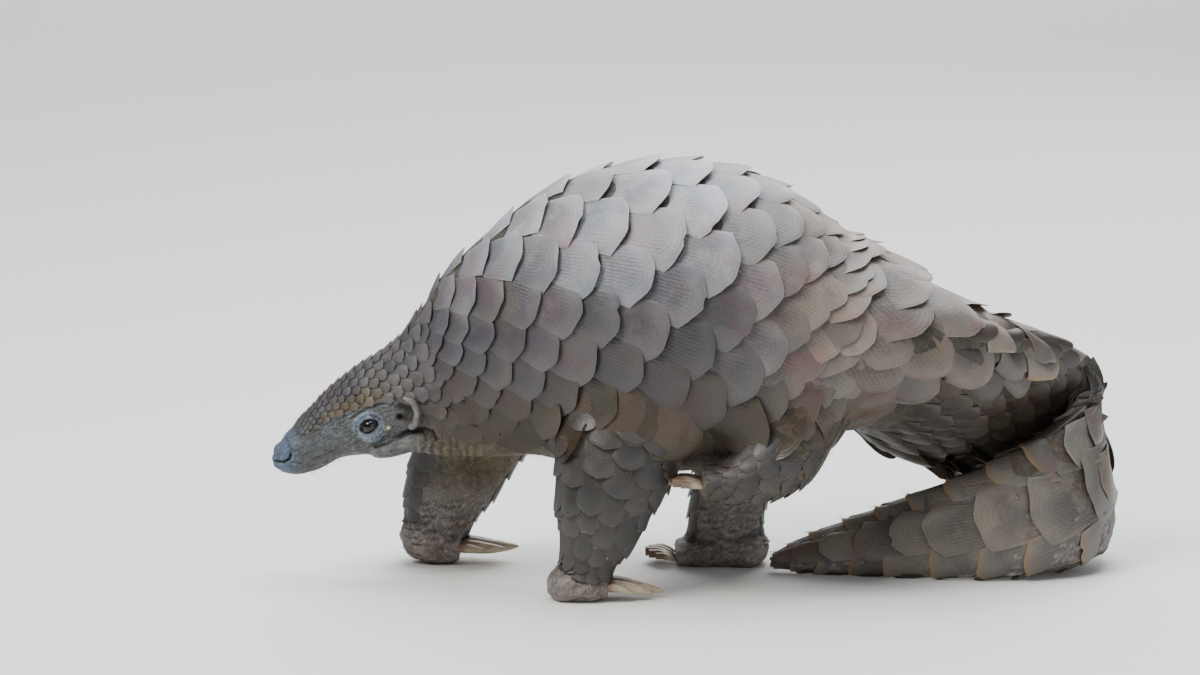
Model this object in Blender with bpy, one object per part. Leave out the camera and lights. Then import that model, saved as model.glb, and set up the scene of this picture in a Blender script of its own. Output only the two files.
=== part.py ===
# Indian pangolin at life size, walking, as a still museum model.
# Metres, +Z up. The head points to -X and the left side of the animal to -Y.

import math
import random

import bmesh
import bpy
import numpy as np

# Gap kept between two nodes that meet, and how far feet and tail reach below the floor before they are cut
GAP = 0.0003
SLAB = 0.7

# Trunk, neck and head: x and z of the back line, x and z of the belly line, half width
SPINE = [
    (-0.3258, 0.1040, -0.3252, 0.0975, 0.0035),
    (-0.3232, 0.1085, -0.3215, 0.0895, 0.0085),
    (-0.3165, 0.1140, -0.3136, 0.0845, 0.0118),
    (-0.3042, 0.1243, -0.2980, 0.0858, 0.0130),
    (-0.2886, 0.1395, -0.2808, 0.0945, 0.0160),
    (-0.2691, 0.1570, -0.2652, 0.0972, 0.0215),
    (-0.2480, 0.1735, -0.2434, 0.0982, 0.0275),
    (-0.2262, 0.1885, -0.2184, 0.0985, 0.0320),
    (-0.2067, 0.2065, -0.1950, 0.0942, 0.0370),
    (-0.1856, 0.2300, -0.1677, 0.0911, 0.0470),
    (-0.1565, 0.2640, -0.1326, 0.0895, 0.0620),
    (-0.1215, 0.2945, -0.0936, 0.0879, 0.0760),
    (-0.0770, 0.3225, -0.0507, 0.0863, 0.0880),
    (-0.0305, 0.3325, -0.0156, 0.0863, 0.0950),
    (0.0150, 0.3285, 0.0172, 0.0863, 0.0980),
    (0.0575, 0.3115, 0.0507, 0.0895, 0.0960),
    (0.0990, 0.2895, 0.0819, 0.0990, 0.0900),
    (0.1370, 0.2680, 0.1120, 0.1150, 0.0840),
]
# Tail: x, y and z of its middle, half width, height above and below the middle, roll in degrees
TAIL = [
    (0.1700, 0.0020, 0.1660, 0.0860, 0.0620, 0.0480, 38.0),
    (0.2085, 0.0230, 0.1450, 0.0815, 0.0480, 0.0330, 44.0),
    (0.2440, 0.0500, 0.1340, 0.0750, 0.0370, 0.0230, 50.0),
    (0.2760, 0.0780, 0.1060, 0.0710, 0.0280, 0.0180, 63.0),
    (0.3050, 0.0840, 0.0870, 0.0670, 0.0230, 0.0150, 72.0),
    (0.3180, 0.0560, 0.0750, 0.0630, 0.0210, 0.0140, 77.0),
    (0.3050, 0.0260, 0.0650, 0.0585, 0.0200, 0.0135, 78.0),
    (0.2720, 0.0080, 0.0535, 0.0530, 0.0190, 0.0130, 76.0),
    (0.2350, 0.0060, 0.0436, 0.0460, 0.0175, 0.0120, 73.0),
    (0.1950, 0.0100, 0.0350, 0.0385, 0.0155, 0.0105, 70.0),
    (0.1550, 0.0160, 0.0266, 0.0305, 0.0130, 0.0090, 66.0),
    (0.1150, 0.0220, 0.0186, 0.0220, 0.0105, 0.0075, 62.0),
    (0.0840, 0.0270, 0.0122, 0.0145, 0.0080, 0.0060, 56.0),
    (0.0660, 0.0295, 0.0080, 0.0065, 0.0045, 0.0040, 52.0),
]
# Where the sweep is parted: row numbers over both tables
PARTS = {
    "head": (0, 8.0),
    "neck": (8.0, 9.8),
    "torso": (9.8, 17.6),
    "tail_base": (17.6, 19.8),
    "tail_far": (19.8, 22.0),
    "tail_bend": (22.0, 24.3),
    "tail_near": (24.3, 27.0),
    "tail_tip": (27.0, 31.0),
}
# Legs: x, y and z of the middle, half width sideways, depth to the front and to the back.
# The lifted hind leg runs on into its foot from row 3.
FOOT_ROW = 3.0
LEGS = {
    "foreleg_left": [
        (-0.0500, -0.0440, 0.1620, 0.0330, 0.0430, 0.0430),
        (-0.0520, -0.0540, 0.1320, 0.0350, 0.0490, 0.0500),
        (-0.0600, -0.0620, 0.1000, 0.0340, 0.0465, 0.0465),
        (-0.0670, -0.0660, 0.0765, 0.0310, 0.0390, 0.0390),
        (-0.0720, -0.0670, 0.0528, 0.0270, 0.0325, 0.0320),
        (-0.0780, -0.0670, 0.0350, 0.0225, 0.0235, 0.0240),
        (-0.0805, -0.0670, 0.0150, 0.0190, 0.0175, 0.0180),
    ],
    "foreleg_right": [
        (-0.1480, 0.0370, 0.1420, 0.0250, 0.0360, 0.0380),
        (-0.1620, 0.0520, 0.1150, 0.0270, 0.0380, 0.0420),
        (-0.1780, 0.0620, 0.0876, 0.0270, 0.0400, 0.0400),
        (-0.1870, 0.0630, 0.0690, 0.0260, 0.0380, 0.0380),
        (-0.1950, 0.0630, 0.0500, 0.0235, 0.0330, 0.0320),
        (-0.2000, 0.0630, 0.0280, 0.0215, 0.0270, 0.0260),
    ],
    "hindleg_left": [
        (0.0900, -0.0480, 0.1620, 0.0300, 0.0320, 0.0320),
        (0.0820, -0.0600, 0.1360, 0.0310, 0.0330, 0.0320),
        (0.0680, -0.0680, 0.1130, 0.0310, 0.0330, 0.0310),
        (0.0480, -0.0720, 0.0985, 0.0290, 0.0240, 0.0240),
        (0.0270, -0.0740, 0.0925, 0.0260, 0.0175, 0.0170),
        (0.0080, -0.0745, 0.0945, 0.0225, 0.0115, 0.0120),
    ],
    "hindleg_right": [
        (0.0640, 0.0440, 0.1500, 0.0320, 0.0380, 0.0380),
        (0.0500, 0.0540, 0.1100, 0.0330, 0.0370, 0.0370),
        (0.0380, 0.0590, 0.0760, 0.0300, 0.0330, 0.0330),
        (0.0310, 0.0600, 0.0480, 0.0260, 0.0310, 0.0310),
        (0.0290, 0.0600, 0.0170, 0.0245, 0.0300, 0.0300),
    ],
}
# Feet, from the heel to the flat face the claws start at: x, y and z, half width, height above and below
FEET = {
    "forefoot_left": [
        (-0.1110, -0.0670, 0.0120, 0.0080, 0.0050, 0.0070),
        (-0.1050, -0.0670, 0.0120, 0.0180, 0.0115, 0.0130),
        (-0.0900, -0.0670, 0.0125, 0.0235, 0.0150, 0.0145),
        (-0.0740, -0.0670, 0.0122, 0.0225, 0.0135, 0.0140),
        (-0.0640, -0.0670, 0.0118, 0.0195, 0.0095, 0.0105),
    ],
    "forefoot_right": [
        (-0.2280, 0.0630, 0.0290, 0.0080, 0.0070, 0.0070),
        (-0.2220, 0.0630, 0.0270, 0.0175, 0.0170, 0.0150),
        (-0.2070, 0.0630, 0.0210, 0.0225, 0.0210, 0.0205),
        (-0.1920, 0.0630, 0.0158, 0.0215, 0.0170, 0.0170),
        (-0.1810, 0.0630, 0.0148, 0.0190, 0.0110, 0.0120),
    ],
    "hindfoot_right": [
        (0.0640, 0.0600, 0.0110, 0.0100, 0.0050, 0.0060),
        (0.0570, 0.0600, 0.0120, 0.0220, 0.0120, 0.0135),
        (0.0320, 0.0600, 0.0120, 0.0270, 0.0170, 0.0145),
        (0.0060, 0.0600, 0.0110, 0.0270, 0.0120, 0.0130),
        (-0.0100, 0.0600, 0.0095, 0.0240, 0.0075, 0.0105),
    ],
}
# Height at which a foot is cut flat under its leg
FOOT_TOP = {"forefoot_left": 0.0205, "forefoot_right": 0.0340, "hindfoot_right": 0.0230}
# Claws by foot: sideways place, radius at the root, length, drop of the tip
FORE_CLAWS = [
    (-0.0157, 0.0026, 0.016, 0.0030),
    (-0.0087, 0.0036, 0.030, 0.0045),
    (0.0000, 0.0042, 0.038, 0.0050),
    (0.0087, 0.0036, 0.030, 0.0045),
    (0.0157, 0.0026, 0.014, 0.0030),
]
HIND_CLAWS = [
    (-0.0170, 0.0024, 0.011, 0.0035),
    (-0.0088, 0.0031, 0.015, 0.0050),
    (0.0000, 0.0034, 0.017, 0.0055),
    (0.0088, 0.0031, 0.015, 0.0050),
    (0.0170, 0.0024, 0.011, 0.0035),
]
# Head details, for the left side; the right side mirrors them
EYE = (-0.2492, -0.0215, 0.1265)
EYE_RADIUS = 0.0068
EAR_PATH = [
    (-0.2190, -0.0300, 0.1500),
    (-0.2150, -0.0325, 0.1465),
    (-0.2115, -0.0340, 0.1400),
    (-0.2120, -0.0345, 0.1330),
    (-0.2150, -0.0335, 0.1280),
]
EAR_HOLE = (-0.2225, -0.0330, 0.1345)

# Scales of the sweep by row number: row, scaled share of the half girth, columns, spacing of the rings,
# width, length and raise of a scale
SCALES = [
    (3.9, 0.34, 5, 0.0130, 0.0110, 0.0115, 0.0012),
    (5.0, 0.44, 5, 0.0145, 0.0130, 0.0130, 0.0014),
    (7.0, 0.55, 7, 0.0170, 0.0170, 0.0165, 0.0018),
    (8.2, 0.66, 7, 0.0210, 0.0260, 0.0230, 0.0026),
    (10.0, 0.66, 9, 0.0250, 0.0400, 0.0340, 0.0036),
    (13.0, 0.63, 9, 0.0305, 0.0580, 0.0450, 0.0044),
    (17.6, 0.68, 9, 0.0300, 0.0560, 0.0480, 0.0044),
]
# The same on the tail, where the rings close
TAIL_SCALES = [
    (17.9, 1.0, 8, 0.0310, 0.0500, 0.0440, 0.0044),
    (21.0, 1.0, 8, 0.0320, 0.0420, 0.0360, 0.0040),
    (24.0, 1.0, 8, 0.0300, 0.0380, 0.0320, 0.0034),
    (27.0, 1.0, 6, 0.0270, 0.0280, 0.0270, 0.0026),
    (30.3, 1.0, 4, 0.0210, 0.0140, 0.0180, 0.0014),
]
# Scales of the legs by row number; they cover the outer side and the front
LEG_SCALES = {
    "foreleg_left": [
        (1.5, 0.56, 5, 0.0230, 0.0300, 0.0300, 0.0030),
        (5.4, 0.60, 5, 0.0170, 0.0160, 0.0180, 0.0018),
    ],
    "foreleg_right": [
        (2.0, 0.56, 5, 0.0220, 0.0200, 0.0220, 0.0020),
        (4.6, 0.56, 5, 0.0180, 0.0130, 0.0150, 0.0014),
    ],
    "hindleg_left": [
        (1.2, 0.42, 5, 0.0200, 0.0280, 0.0260, 0.0026),
        (4.3, 0.34, 5, 0.0150, 0.0140, 0.0140, 0.0014),
    ],
    "hindleg_right": [
        (1.8, 0.56, 5, 0.0230, 0.0240, 0.0240, 0.0024),
        (3.5, 0.56, 5, 0.0180, 0.0160, 0.0170, 0.0018),
    ],
}


class Loft:
    """A closed body swept through sections; s runs along it from 0 to 1, q round it from 0 on top to 1."""

    SAMPLES = 400
    TURNS = 181

    def __init__(self, centres, ups, sizes):
        # sizes holds half width, height above, height below and squareness of each section
        centres, ups, sizes = (np.array(rows, float) for rows in (centres, ups, sizes))
        steps = np.linalg.norm(np.diff(centres, axis=0), axis=1)
        knots = np.concatenate([[0.0], np.cumsum(steps)])
        self.length = knots[-1]
        self.knots = knots / self.length
        at = np.linspace(0.0, 1.0, self.SAMPLES)
        self.centre = self.through(centres, at)
        self.size = self.through(sizes, at)
        along = np.gradient(self.centre, axis=0)
        self.along = along / np.linalg.norm(along, axis=1)[:, None]
        right = np.cross(self.through(ups, at), self.along)
        self.right = right / np.linalg.norm(right, axis=1)[:, None]
        self.up = np.cross(self.along, self.right)
        # share of the half girth against angle, for each sample
        angle = np.linspace(0.0, math.pi, self.TURNS)
        flat = self.section(self.size[:, None, :], angle[None, :])
        run = np.linalg.norm(np.diff(np.stack(flat, -1), axis=1), axis=-1)
        run = np.concatenate([np.zeros((self.SAMPLES, 1)), np.cumsum(run, axis=1)], axis=1)
        self.girth = run[:, -1]
        self.turn = run / run[:, -1:]
        self.angle = angle

    def through(self, rows, at):
        """A smooth curve through one row for each knot."""
        slope = np.gradient(rows, self.knots, axis=0)
        i = np.clip(np.searchsorted(self.knots, at, side="right") - 1, 0, len(rows) - 2)
        span = (self.knots[i + 1] - self.knots[i])[:, None]
        t = ((at - self.knots[i]) / span[:, 0])[:, None]
        return (
            (2 * t**3 - 3 * t**2 + 1) * rows[i]
            + (t**3 - 2 * t**2 + t) * span * slope[i]
            + (3 * t**2 - 2 * t**3) * rows[i + 1]
            + (t**3 - t**2) * span * slope[i + 1]
        )

    def section(self, size, angle):
        """Sideways and upward place on a section."""
        power = 2.0 / size[..., 3]
        across = np.sign(np.sin(angle)) * np.abs(np.sin(angle)) ** power * size[..., 0]
        upward = np.sign(np.cos(angle)) * np.abs(np.cos(angle)) ** power
        return across, upward * np.where(upward > 0, size[..., 1], size[..., 2])

    def row(self, number):
        """The s of a row number, which may lie between two rows."""
        return float(np.interp(number, np.arange(len(self.knots)), self.knots))

    def read(self, rows, s):
        at = np.clip(s, 0.0, 1.0) * (self.SAMPLES - 1)
        low = np.minimum(at.astype(int), self.SAMPLES - 2)
        t = at - low
        if rows.ndim > 1:
            t = t[..., None]
        return rows[low] * (1 - t) + rows[low + 1] * t

    def point(self, s, q, grow=0.0):
        """The surface at s and q, moved outwards in its section by grow."""
        s, q = np.broadcast_arrays(np.asarray(s, float), np.asarray(q, float))
        q = (q + 1.0) % 2.0 - 1.0
        near = np.round(np.clip(s, 0, 1) * (self.SAMPLES - 1)).astype(int)
        angle = np.empty(s.shape)
        for place in np.ndindex(s.shape):
            angle[place] = np.interp(abs(q[place]), self.turn[near[place]], self.angle)
        angle = angle * np.where(q < 0, -1.0, 1.0)
        size = self.read(self.size, s).copy()
        size[..., :3] += grow
        across, upward = self.section(size, angle)
        return (
            self.read(self.centre, s)
            + self.read(self.right, s) * across[..., None]
            + self.read(self.up, s) * upward[..., None]
        )

    def normal(self, s, q):
        s, q = np.broadcast_arrays(np.asarray(s, float), np.asarray(q, float))
        ds, dq = 0.004, 0.02
        along = self.point(s + ds, q) - self.point(s - ds, q)
        around = self.point(s, q + dq) - self.point(s, q - dq)
        out = np.cross(around, along)
        return out / (np.linalg.norm(out, axis=-1)[..., None] + 1e-12)


def spine_loft():
    """Head, neck, trunk and tail in one sweep."""
    centres, ups, sizes = [], [], []
    for top_x, top_z, low_x, low_z, half_width in SPINE:
        top, low = np.array([top_x, 0, top_z]), np.array([low_x, 0, low_z])
        half_height = np.linalg.norm(top - low) / 2
        centres.append((top + low) / 2)
        ups.append((top - low) / (2 * half_height))
        sizes.append((half_width, half_height, half_height, 2.15))
    middles = np.array([row[:3] for row in TAIL])
    headings = np.gradient(np.vstack([centres[-1], middles]), axis=0)[1:]
    for middle, heading, row in zip(middles, headings, TAIL):
        heading = heading / np.linalg.norm(heading)
        side = np.cross([0, 0, 1], heading)
        side /= np.linalg.norm(side)
        turn = math.radians(row[6])
        centres.append(middle)
        ups.append(np.cross(heading, side) * math.cos(turn) + side * math.sin(turn))
        sizes.append((row[3], row[4], row[5], 1.8))
    return Loft(centres, ups, sizes)


def limb_loft(rows, up, last_up=None):
    """A leg or a foot; up is the side the second size belongs to, turning to last_up at its end."""
    centres = [row[:3] for row in rows]
    sizes = [(row[3], row[4], row[5], 2.2) for row in rows]
    shares = np.linspace(0.0, 1.0, len(rows))[:, None]
    ups = np.array(up) * (1 - shares) + np.array(last_up or up) * shares
    return Loft(centres, ups, sizes)


def rings_of(loft, start, end, step):
    """Sample places between two s values, closer where the form is small."""
    places = [start]
    while True:
        size = loft.read(loft.size, np.array(places[-1]))
        pace = min(step, 1.0 * float(min(size[0], size[1]) + 0.005))
        if places[-1] + 1.5 * pace / loft.length >= end:
            break
        places.append(places[-1] + pace / loft.length)
    return np.array(places + [end])


def tube(loft, start, end, step, around, gaps=(0.0, 0.0), grow=0.0):
    """A closed mesh of the loft between two s values; gaps draw the end faces in."""
    s = rings_of(loft, start, end, step)
    q = np.linspace(-1.0, 1.0, around, endpoint=False)
    points = loft.point(s[:, None], q[None, :], grow)
    for ring, side in ((0, 1), (-1, -1)):
        move = loft.read(loft.along, s[ring]) * side * (gaps[ring] - grow)
        points[ring] += move
    vertices = [tuple(place) for place in points.reshape(-1, 3)]
    faces = []
    for i in range(len(s) - 1):
        for j in range(around):
            k = (j + 1) % around
            faces.append((i * around + j, i * around + k, (i + 1) * around + k, (i + 1) * around + j))
    for ring, first in ((0, 0), (-1, (len(s) - 1) * around)):
        middle = len(vertices)
        vertices.append(tuple(points[ring].mean(axis=0)))
        for j in range(around):
            pair = (first + j, first + (j + 1) % around)
            faces.append((middle, *(pair if ring else pair[::-1])))
    return vertices, faces


def ball(centre, radii, columns=16, rows=10):
    """An ellipsoid."""
    vertices = [tuple(np.array(centre) + np.array([0, 0, radii[2]]))]
    for i in range(1, rows):
        polar = math.pi * i / rows
        for j in range(columns):
            turn = 2 * math.pi * j / columns
            offset = (math.sin(polar) * math.cos(turn), math.sin(polar) * math.sin(turn), math.cos(polar))
            vertices.append(tuple(c + r * o for c, r, o in zip(centre, radii, offset)))
    vertices.append(tuple(np.array(centre) - np.array([0, 0, radii[2]])))
    last = len(vertices) - 1
    faces = []
    for j in range(columns):
        k = (j + 1) % columns
        faces.append((0, 1 + j, 1 + k))
        faces.append((last, last - columns + k, last - columns + j))
        for i in range(rows - 2):
            low = 1 + i * columns
            faces.append((low + j, low + columns + j, low + columns + k, low + k))
    return vertices, faces


def block(low, high):
    """A box between two corners."""
    vertices = [(x, y, z) for x in (low[0], high[0]) for y in (low[1], high[1]) for z in (low[2], high[2])]
    faces = [(0, 1, 3, 2), (4, 6, 7, 5), (0, 4, 5, 1), (2, 3, 7, 6), (0, 2, 6, 4), (1, 5, 7, 3)]
    return vertices, faces


def clip(outline, low, high):
    """The part of a flat outline whose second coordinate lies between two values."""
    for limit, keep in ((low, 1.0), (high, -1.0)):
        kept = []
        for i, here in enumerate(outline):
            before = outline[i - 1]
            inside, was = keep * (here[1] - limit) > 0, keep * (before[1] - limit) > 0
            if inside != was:
                t = (limit - before[1]) / (here[1] - before[1])
                kept.append((before[0] + t * (here[0] - before[0]), limit))
            if inside:
                kept.append(here)
        outline = kept
    return outline


# Outline of a scale: across and along, as shares of its width and length, root first
SCALE_OUTLINE = [(0.0, 0.0), (-0.50, 0.50), (-0.24, 0.94), (0.24, 0.94), (0.50, 0.50)]
ROOT_SINK = 0.0016
UNDER_SINK = 0.0030


def scale(loft, s, q, width, length, lift, twist, span):
    """One shingle: its root and its whole underside lie in the body, its free edge stands up by lift."""
    cos, sin = math.cos(twist), math.sin(twist)
    outline = [(a * width, b * length) for a, b in SCALE_OUTLINE]
    outline = [(a * cos - b * sin, a * sin + b * cos) for a, b in outline]
    low, high = ((edge - s) * loft.length for edge in span)
    outline = clip(outline, low + GAP, high - GAP)
    if len(outline) < 3 or max(b for a, b in outline) - min(b for a, b in outline) < 0.25 * length:
        return None
    middle = tuple(np.mean(outline, axis=0))
    rows = np.array([*outline, middle])
    girth = float(loft.read(loft.girth, np.array(s)))
    place_s = s + rows[:, 1] / loft.length
    place_q = q + rows[:, 0] / girth
    base = loft.point(place_s, place_q)
    # raised within its own section, so that nothing leans over the plane where two nodes meet
    out, along = loft.normal(place_s, place_q), loft.read(loft.along, place_s)
    out = out - along * np.sum(out * along, axis=1)[:, None]
    out /= np.linalg.norm(out, axis=1)[:, None]
    rise = -ROOT_SINK + (lift + ROOT_SINK) * np.clip(rows[:, 1] / length, 0, 1) ** 0.7
    rise[-1] += 0.25 * lift
    sink = min(UNDER_SINK, 0.3 * float(loft.read(loft.size, np.array(s))[2]))
    upper = base + out * rise[:, None]
    lower = base - out * (sink + 0.02 * width)
    count = len(outline)
    vertices = [tuple(place) for place in np.vstack([upper, lower])]
    faces = []
    for i in range(count):
        j = (i + 1) % count
        faces.append((count, i, j))
        faces.append((2 * count + 1, count + 1 + j, count + 1 + i))
        faces.append((i, count + 1 + i, count + 1 + j))
        faces.append((i, count + 1 + j, j))
    return vertices, faces


def mesh_object(name, form):
    mesh = bpy.data.meshes.new(name)
    mesh.from_pydata(form[0], [], form[1])
    mesh.update()
    shape = bmesh.new()
    shape.from_mesh(mesh)
    bmesh.ops.recalc_face_normals(shape, faces=shape.faces)
    if shape.calc_volume(signed=True) < 0:
        bmesh.ops.reverse_faces(shape, faces=shape.faces)
    bmesh.ops.triangulate(shape, faces=shape.faces)
    shape.to_mesh(mesh)
    shape.free()
    item = bpy.data.objects.new(name, mesh)
    bpy.context.scene.collection.objects.link(item)
    return item


def combine(item, forms, operation, solver):
    """One Boolean of an object with a collection of closed meshes."""
    if not forms:
        return
    group = bpy.data.collections.new("operands")
    bpy.context.scene.collection.children.link(group)
    for form in forms:
        operand = mesh_object("operand", form)
        bpy.context.scene.collection.objects.unlink(operand)
        group.objects.link(operand)
    step = item.modifiers.new("combine", "BOOLEAN")
    step.operation = operation
    step.solver = solver
    step.operand_type = "COLLECTION"
    step.collection = group
    bpy.context.view_layer.update()
    graph = bpy.context.evaluated_depsgraph_get()
    made = bpy.data.meshes.new_from_object(item.evaluated_get(graph))
    item.modifiers.clear()
    old, item.data = item.data, made
    bpy.data.meshes.remove(old)
    for operand in list(group.objects):
        mesh = operand.data
        bpy.data.objects.remove(operand)
        bpy.data.meshes.remove(mesh)
    bpy.data.collections.remove(group)


def tidy(item):
    """Join points closer than a twentieth of a millimetre and keep the largest closed surface."""
    shape = bmesh.new()
    shape.from_mesh(item.data)
    bmesh.ops.remove_doubles(shape, verts=shape.verts, dist=0.00005)
    bmesh.ops.dissolve_degenerate(shape, dist=0.00002, edges=shape.edges)
    bmesh.ops.triangulate(shape, faces=shape.faces)
    waiting = set(shape.faces)
    groups = []
    while waiting:
        stack = [waiting.pop()]
        group = []
        while stack:
            face = stack.pop()
            group.append(face)
            for edge in face.edges:
                for other in edge.link_faces:
                    if other in waiting:
                        waiting.remove(other)
                        stack.append(other)
        groups.append(group)
    groups.sort(key=len)
    for group in groups[:-1]:
        bmesh.ops.delete(shape, geom=group, context="FACES")
    loose = [vertex for vertex in shape.verts if not vertex.link_faces]
    bmesh.ops.delete(shape, geom=loose, context="VERTS")
    bmesh.ops.recalc_face_normals(shape, faces=shape.faces)
    if shape.calc_volume(signed=True) < 0:
        bmesh.ops.reverse_faces(shape, faces=shape.faces)
    shape.to_mesh(item.data)
    shape.free()


def material(name, color, roughness):
    skin = bpy.data.materials.new(name)
    skin.use_nodes = True
    shader = skin.node_tree.nodes["Principled BSDF"]
    shader.inputs["Base Color"].default_value = (*color, 1.0)
    shader.inputs["Roughness"].default_value = roughness
    return skin


def node(name, forms, cutters, slot, solver="MANIFOLD"):
    """A named solid: the first form, the others fused to it in one union, then the cutters taken away."""
    item = mesh_object(name, forms[0])
    combine(item, forms[1:], "UNION", solver)
    combine(item, cutters, "DIFFERENCE", solver)
    tidy(item)
    item.data.name = name
    item.data.materials.clear()
    item.data.materials.append(slot)
    return item


def lattice(loft, start, end, table, rng, wrap=False, middle=0.0):
    """Scales in staggered rings between two s values; table gives share, columns, spacing by s."""
    found = []
    s, odd = start, False
    while s < end:
        sizes = [float(np.interp(s, table[:, 0], table[:, i])) for i in range(1, 7)]
        share, columns, pace, width, length, lift = sizes
        columns = int(round(columns / 2)) * 2 + (0 if wrap else 1)
        half = columns // 2
        girth = float(loft.read(loft.girth, np.array(s)))
        pitch = girth * share / half
        for j in range(-half, half + (0 if wrap else 1)):
            if (j - half) % 2 == int(odd):
                continue
            found.append((
                s + rng.uniform(-0.06, 0.06) * pace / loft.length,
                middle + share * j / half + rng.uniform(-0.04, 0.04) * pitch / girth,
                width * rng.uniform(0.92, 1.06),
                length * rng.uniform(0.94, 1.05),
                lift * rng.uniform(0.85, 1.15),
                rng.uniform(-0.07, 0.07),
            ))
        odd = not odd
        s += pace / loft.length
    return found


def shingles(loft, places, start, end):
    """The solids of all scales that reach into a part of the sweep."""
    made = []
    for s, q, width, length, lift, twist in places:
        if s + length / loft.length < start or s > end:
            continue
        form = scale(loft, s, q, width, length, lift, twist, (start, end))
        if form:
            made.append(form)
    return made


def all_lofts():
    lofts = {"spine": spine_loft()}
    for name, rows in LEGS.items():
        lofts[name] = limb_loft(rows, (-1, 0, 0.1), (0, 0, 1) if name == "hindleg_left" else None)
    for name, rows in FEET.items():
        lofts[name] = limb_loft(rows, (0, 0, 1))
    lofts["hindfoot_left"] = lofts["hindleg_left"]
    return lofts


def mirrored(place):
    return (place[0], -place[1], place[2])


def ear_form(side, grow=0.0):
    """The raised rim of the ear, a bent crescent."""
    path = [place if side == "left" else mirrored(place) for place in EAR_PATH]
    thick = [0.0016, 0.0030, 0.0036, 0.0032, 0.0018]
    rows = [(*place, size, size * 0.9, size * 0.9) for place, size in zip(path, thick)]
    return tube(limb_loft(rows, (-1, 0, 0)), 0.0, 1.0, 0.007, 8, grow=grow)


def head_extras(side):
    """Lids, cheek fold and nose wing on one side, and what is cut for eye, ear, nostril and mouth."""
    flip = (lambda place: place) if side == "left" else mirrored
    out = -1.0 if side == "left" else 1.0
    eye = flip(EYE)
    lids = ball(eye, (0.0105, 0.0078, 0.0095), 12, 7)
    fold_rows = [
        (*flip((-0.2460, -0.0170, 0.1080)), 0.0040, 0.0040, 0.0040),
        (*flip((-0.2350, -0.0235, 0.1105)), 0.0066, 0.0066, 0.0066),
        (*flip((-0.2200, -0.0270, 0.1150)), 0.0070, 0.0070, 0.0070),
        (*flip((-0.2080, -0.0290, 0.1200)), 0.0050, 0.0050, 0.0050),
    ]
    fold = tube(limb_loft(fold_rows, (0, 0, 1)), 0.0, 1.0, 0.012, 8)
    socket = ball(eye, (EYE_RADIUS + 2 * GAP,) * 3, 12, 7)
    opening_at = (eye[0], eye[1] + out * 0.0075, eye[2] - 0.0003)
    opening = ball(opening_at, (0.0066, 0.0060, 0.0046), 10, 6)
    nostril = ball(flip((-0.3232, -0.0060, 0.1010)), (0.0018, 0.0030, 0.0013), 8, 5)
    mouth_rows = [
        (*flip((-0.3200, -0.0095, 0.0935)), 0.0020, 0.0006, 0.0006),
        (*flip((-0.3150, -0.0112, 0.0918)), 0.0022, 0.0008, 0.0008),
        (*flip((-0.3090, -0.0120, 0.0925)), 0.0020, 0.0007, 0.0007),
        (*flip((-0.3050, -0.0122, 0.0950)), 0.0012, 0.0004, 0.0004),
    ]
    mouth = tube(limb_loft(mouth_rows, (0, 0, 1)), 0.0, 1.0, 0.006, 6)
    hole = ball(flip(EAR_HOLE), (0.0035, 0.0050, 0.0045), 10, 6)
    return [lids, fold], [socket, opening, nostril, mouth, hole, ear_form(side, GAP)]


def claw_form(foot, sideways, radius, length, drop):
    """A tapered, gently bent claw that starts a gap away from the flat end of its foot."""
    tip = foot.read(foot.centre, np.array(1.0))
    along, right, up = (foot.read(rows, np.array(1.0)) for rows in (foot.along, foot.right, foot.up))
    root = tip + right * sideways + along * GAP - up * 0.001
    rows = []
    for share, size in ((0.0, 1.0), (0.25, 1.05), (0.5, 0.85), (0.75, 0.58), (1.0, 0.16)):
        place = root + along * length * share - up * drop * share * share
        rows.append((*place, radius * size, radius * size * 1.15, radius * size * 0.9))
    sections = Loft([row[:3] for row in rows], [up] * 5, [(row[3], row[4], row[5], 2.0) for row in rows])
    vertices, faces = tube(sections, 0.0, 1.0, 0.012, 8)
    # the first ring is brought flat onto the plane of the foot's end face
    points = np.array(vertices)
    for i in [*range(8), len(points) - 2]:
        points[i] -= along * float(np.dot(points[i] - root, along))
    return [tuple(place) for place in points], faces


def shift_all(items):
    """The origin goes under the middle of the whole animal, on the floor."""
    points = np.vstack([np.array([vertex.co for vertex in item.data.vertices]) for item in items])
    low, high = points.min(axis=0), points.max(axis=0)
    move = np.array([(low[0] + high[0]) / 2, (low[1] + high[1]) / 2, low[2]])
    for item in items:
        for vertex in item.data.vertices:
            vertex.co = [float(v) for v in np.array(vertex.co) - move]
        item.data.update()


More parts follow.
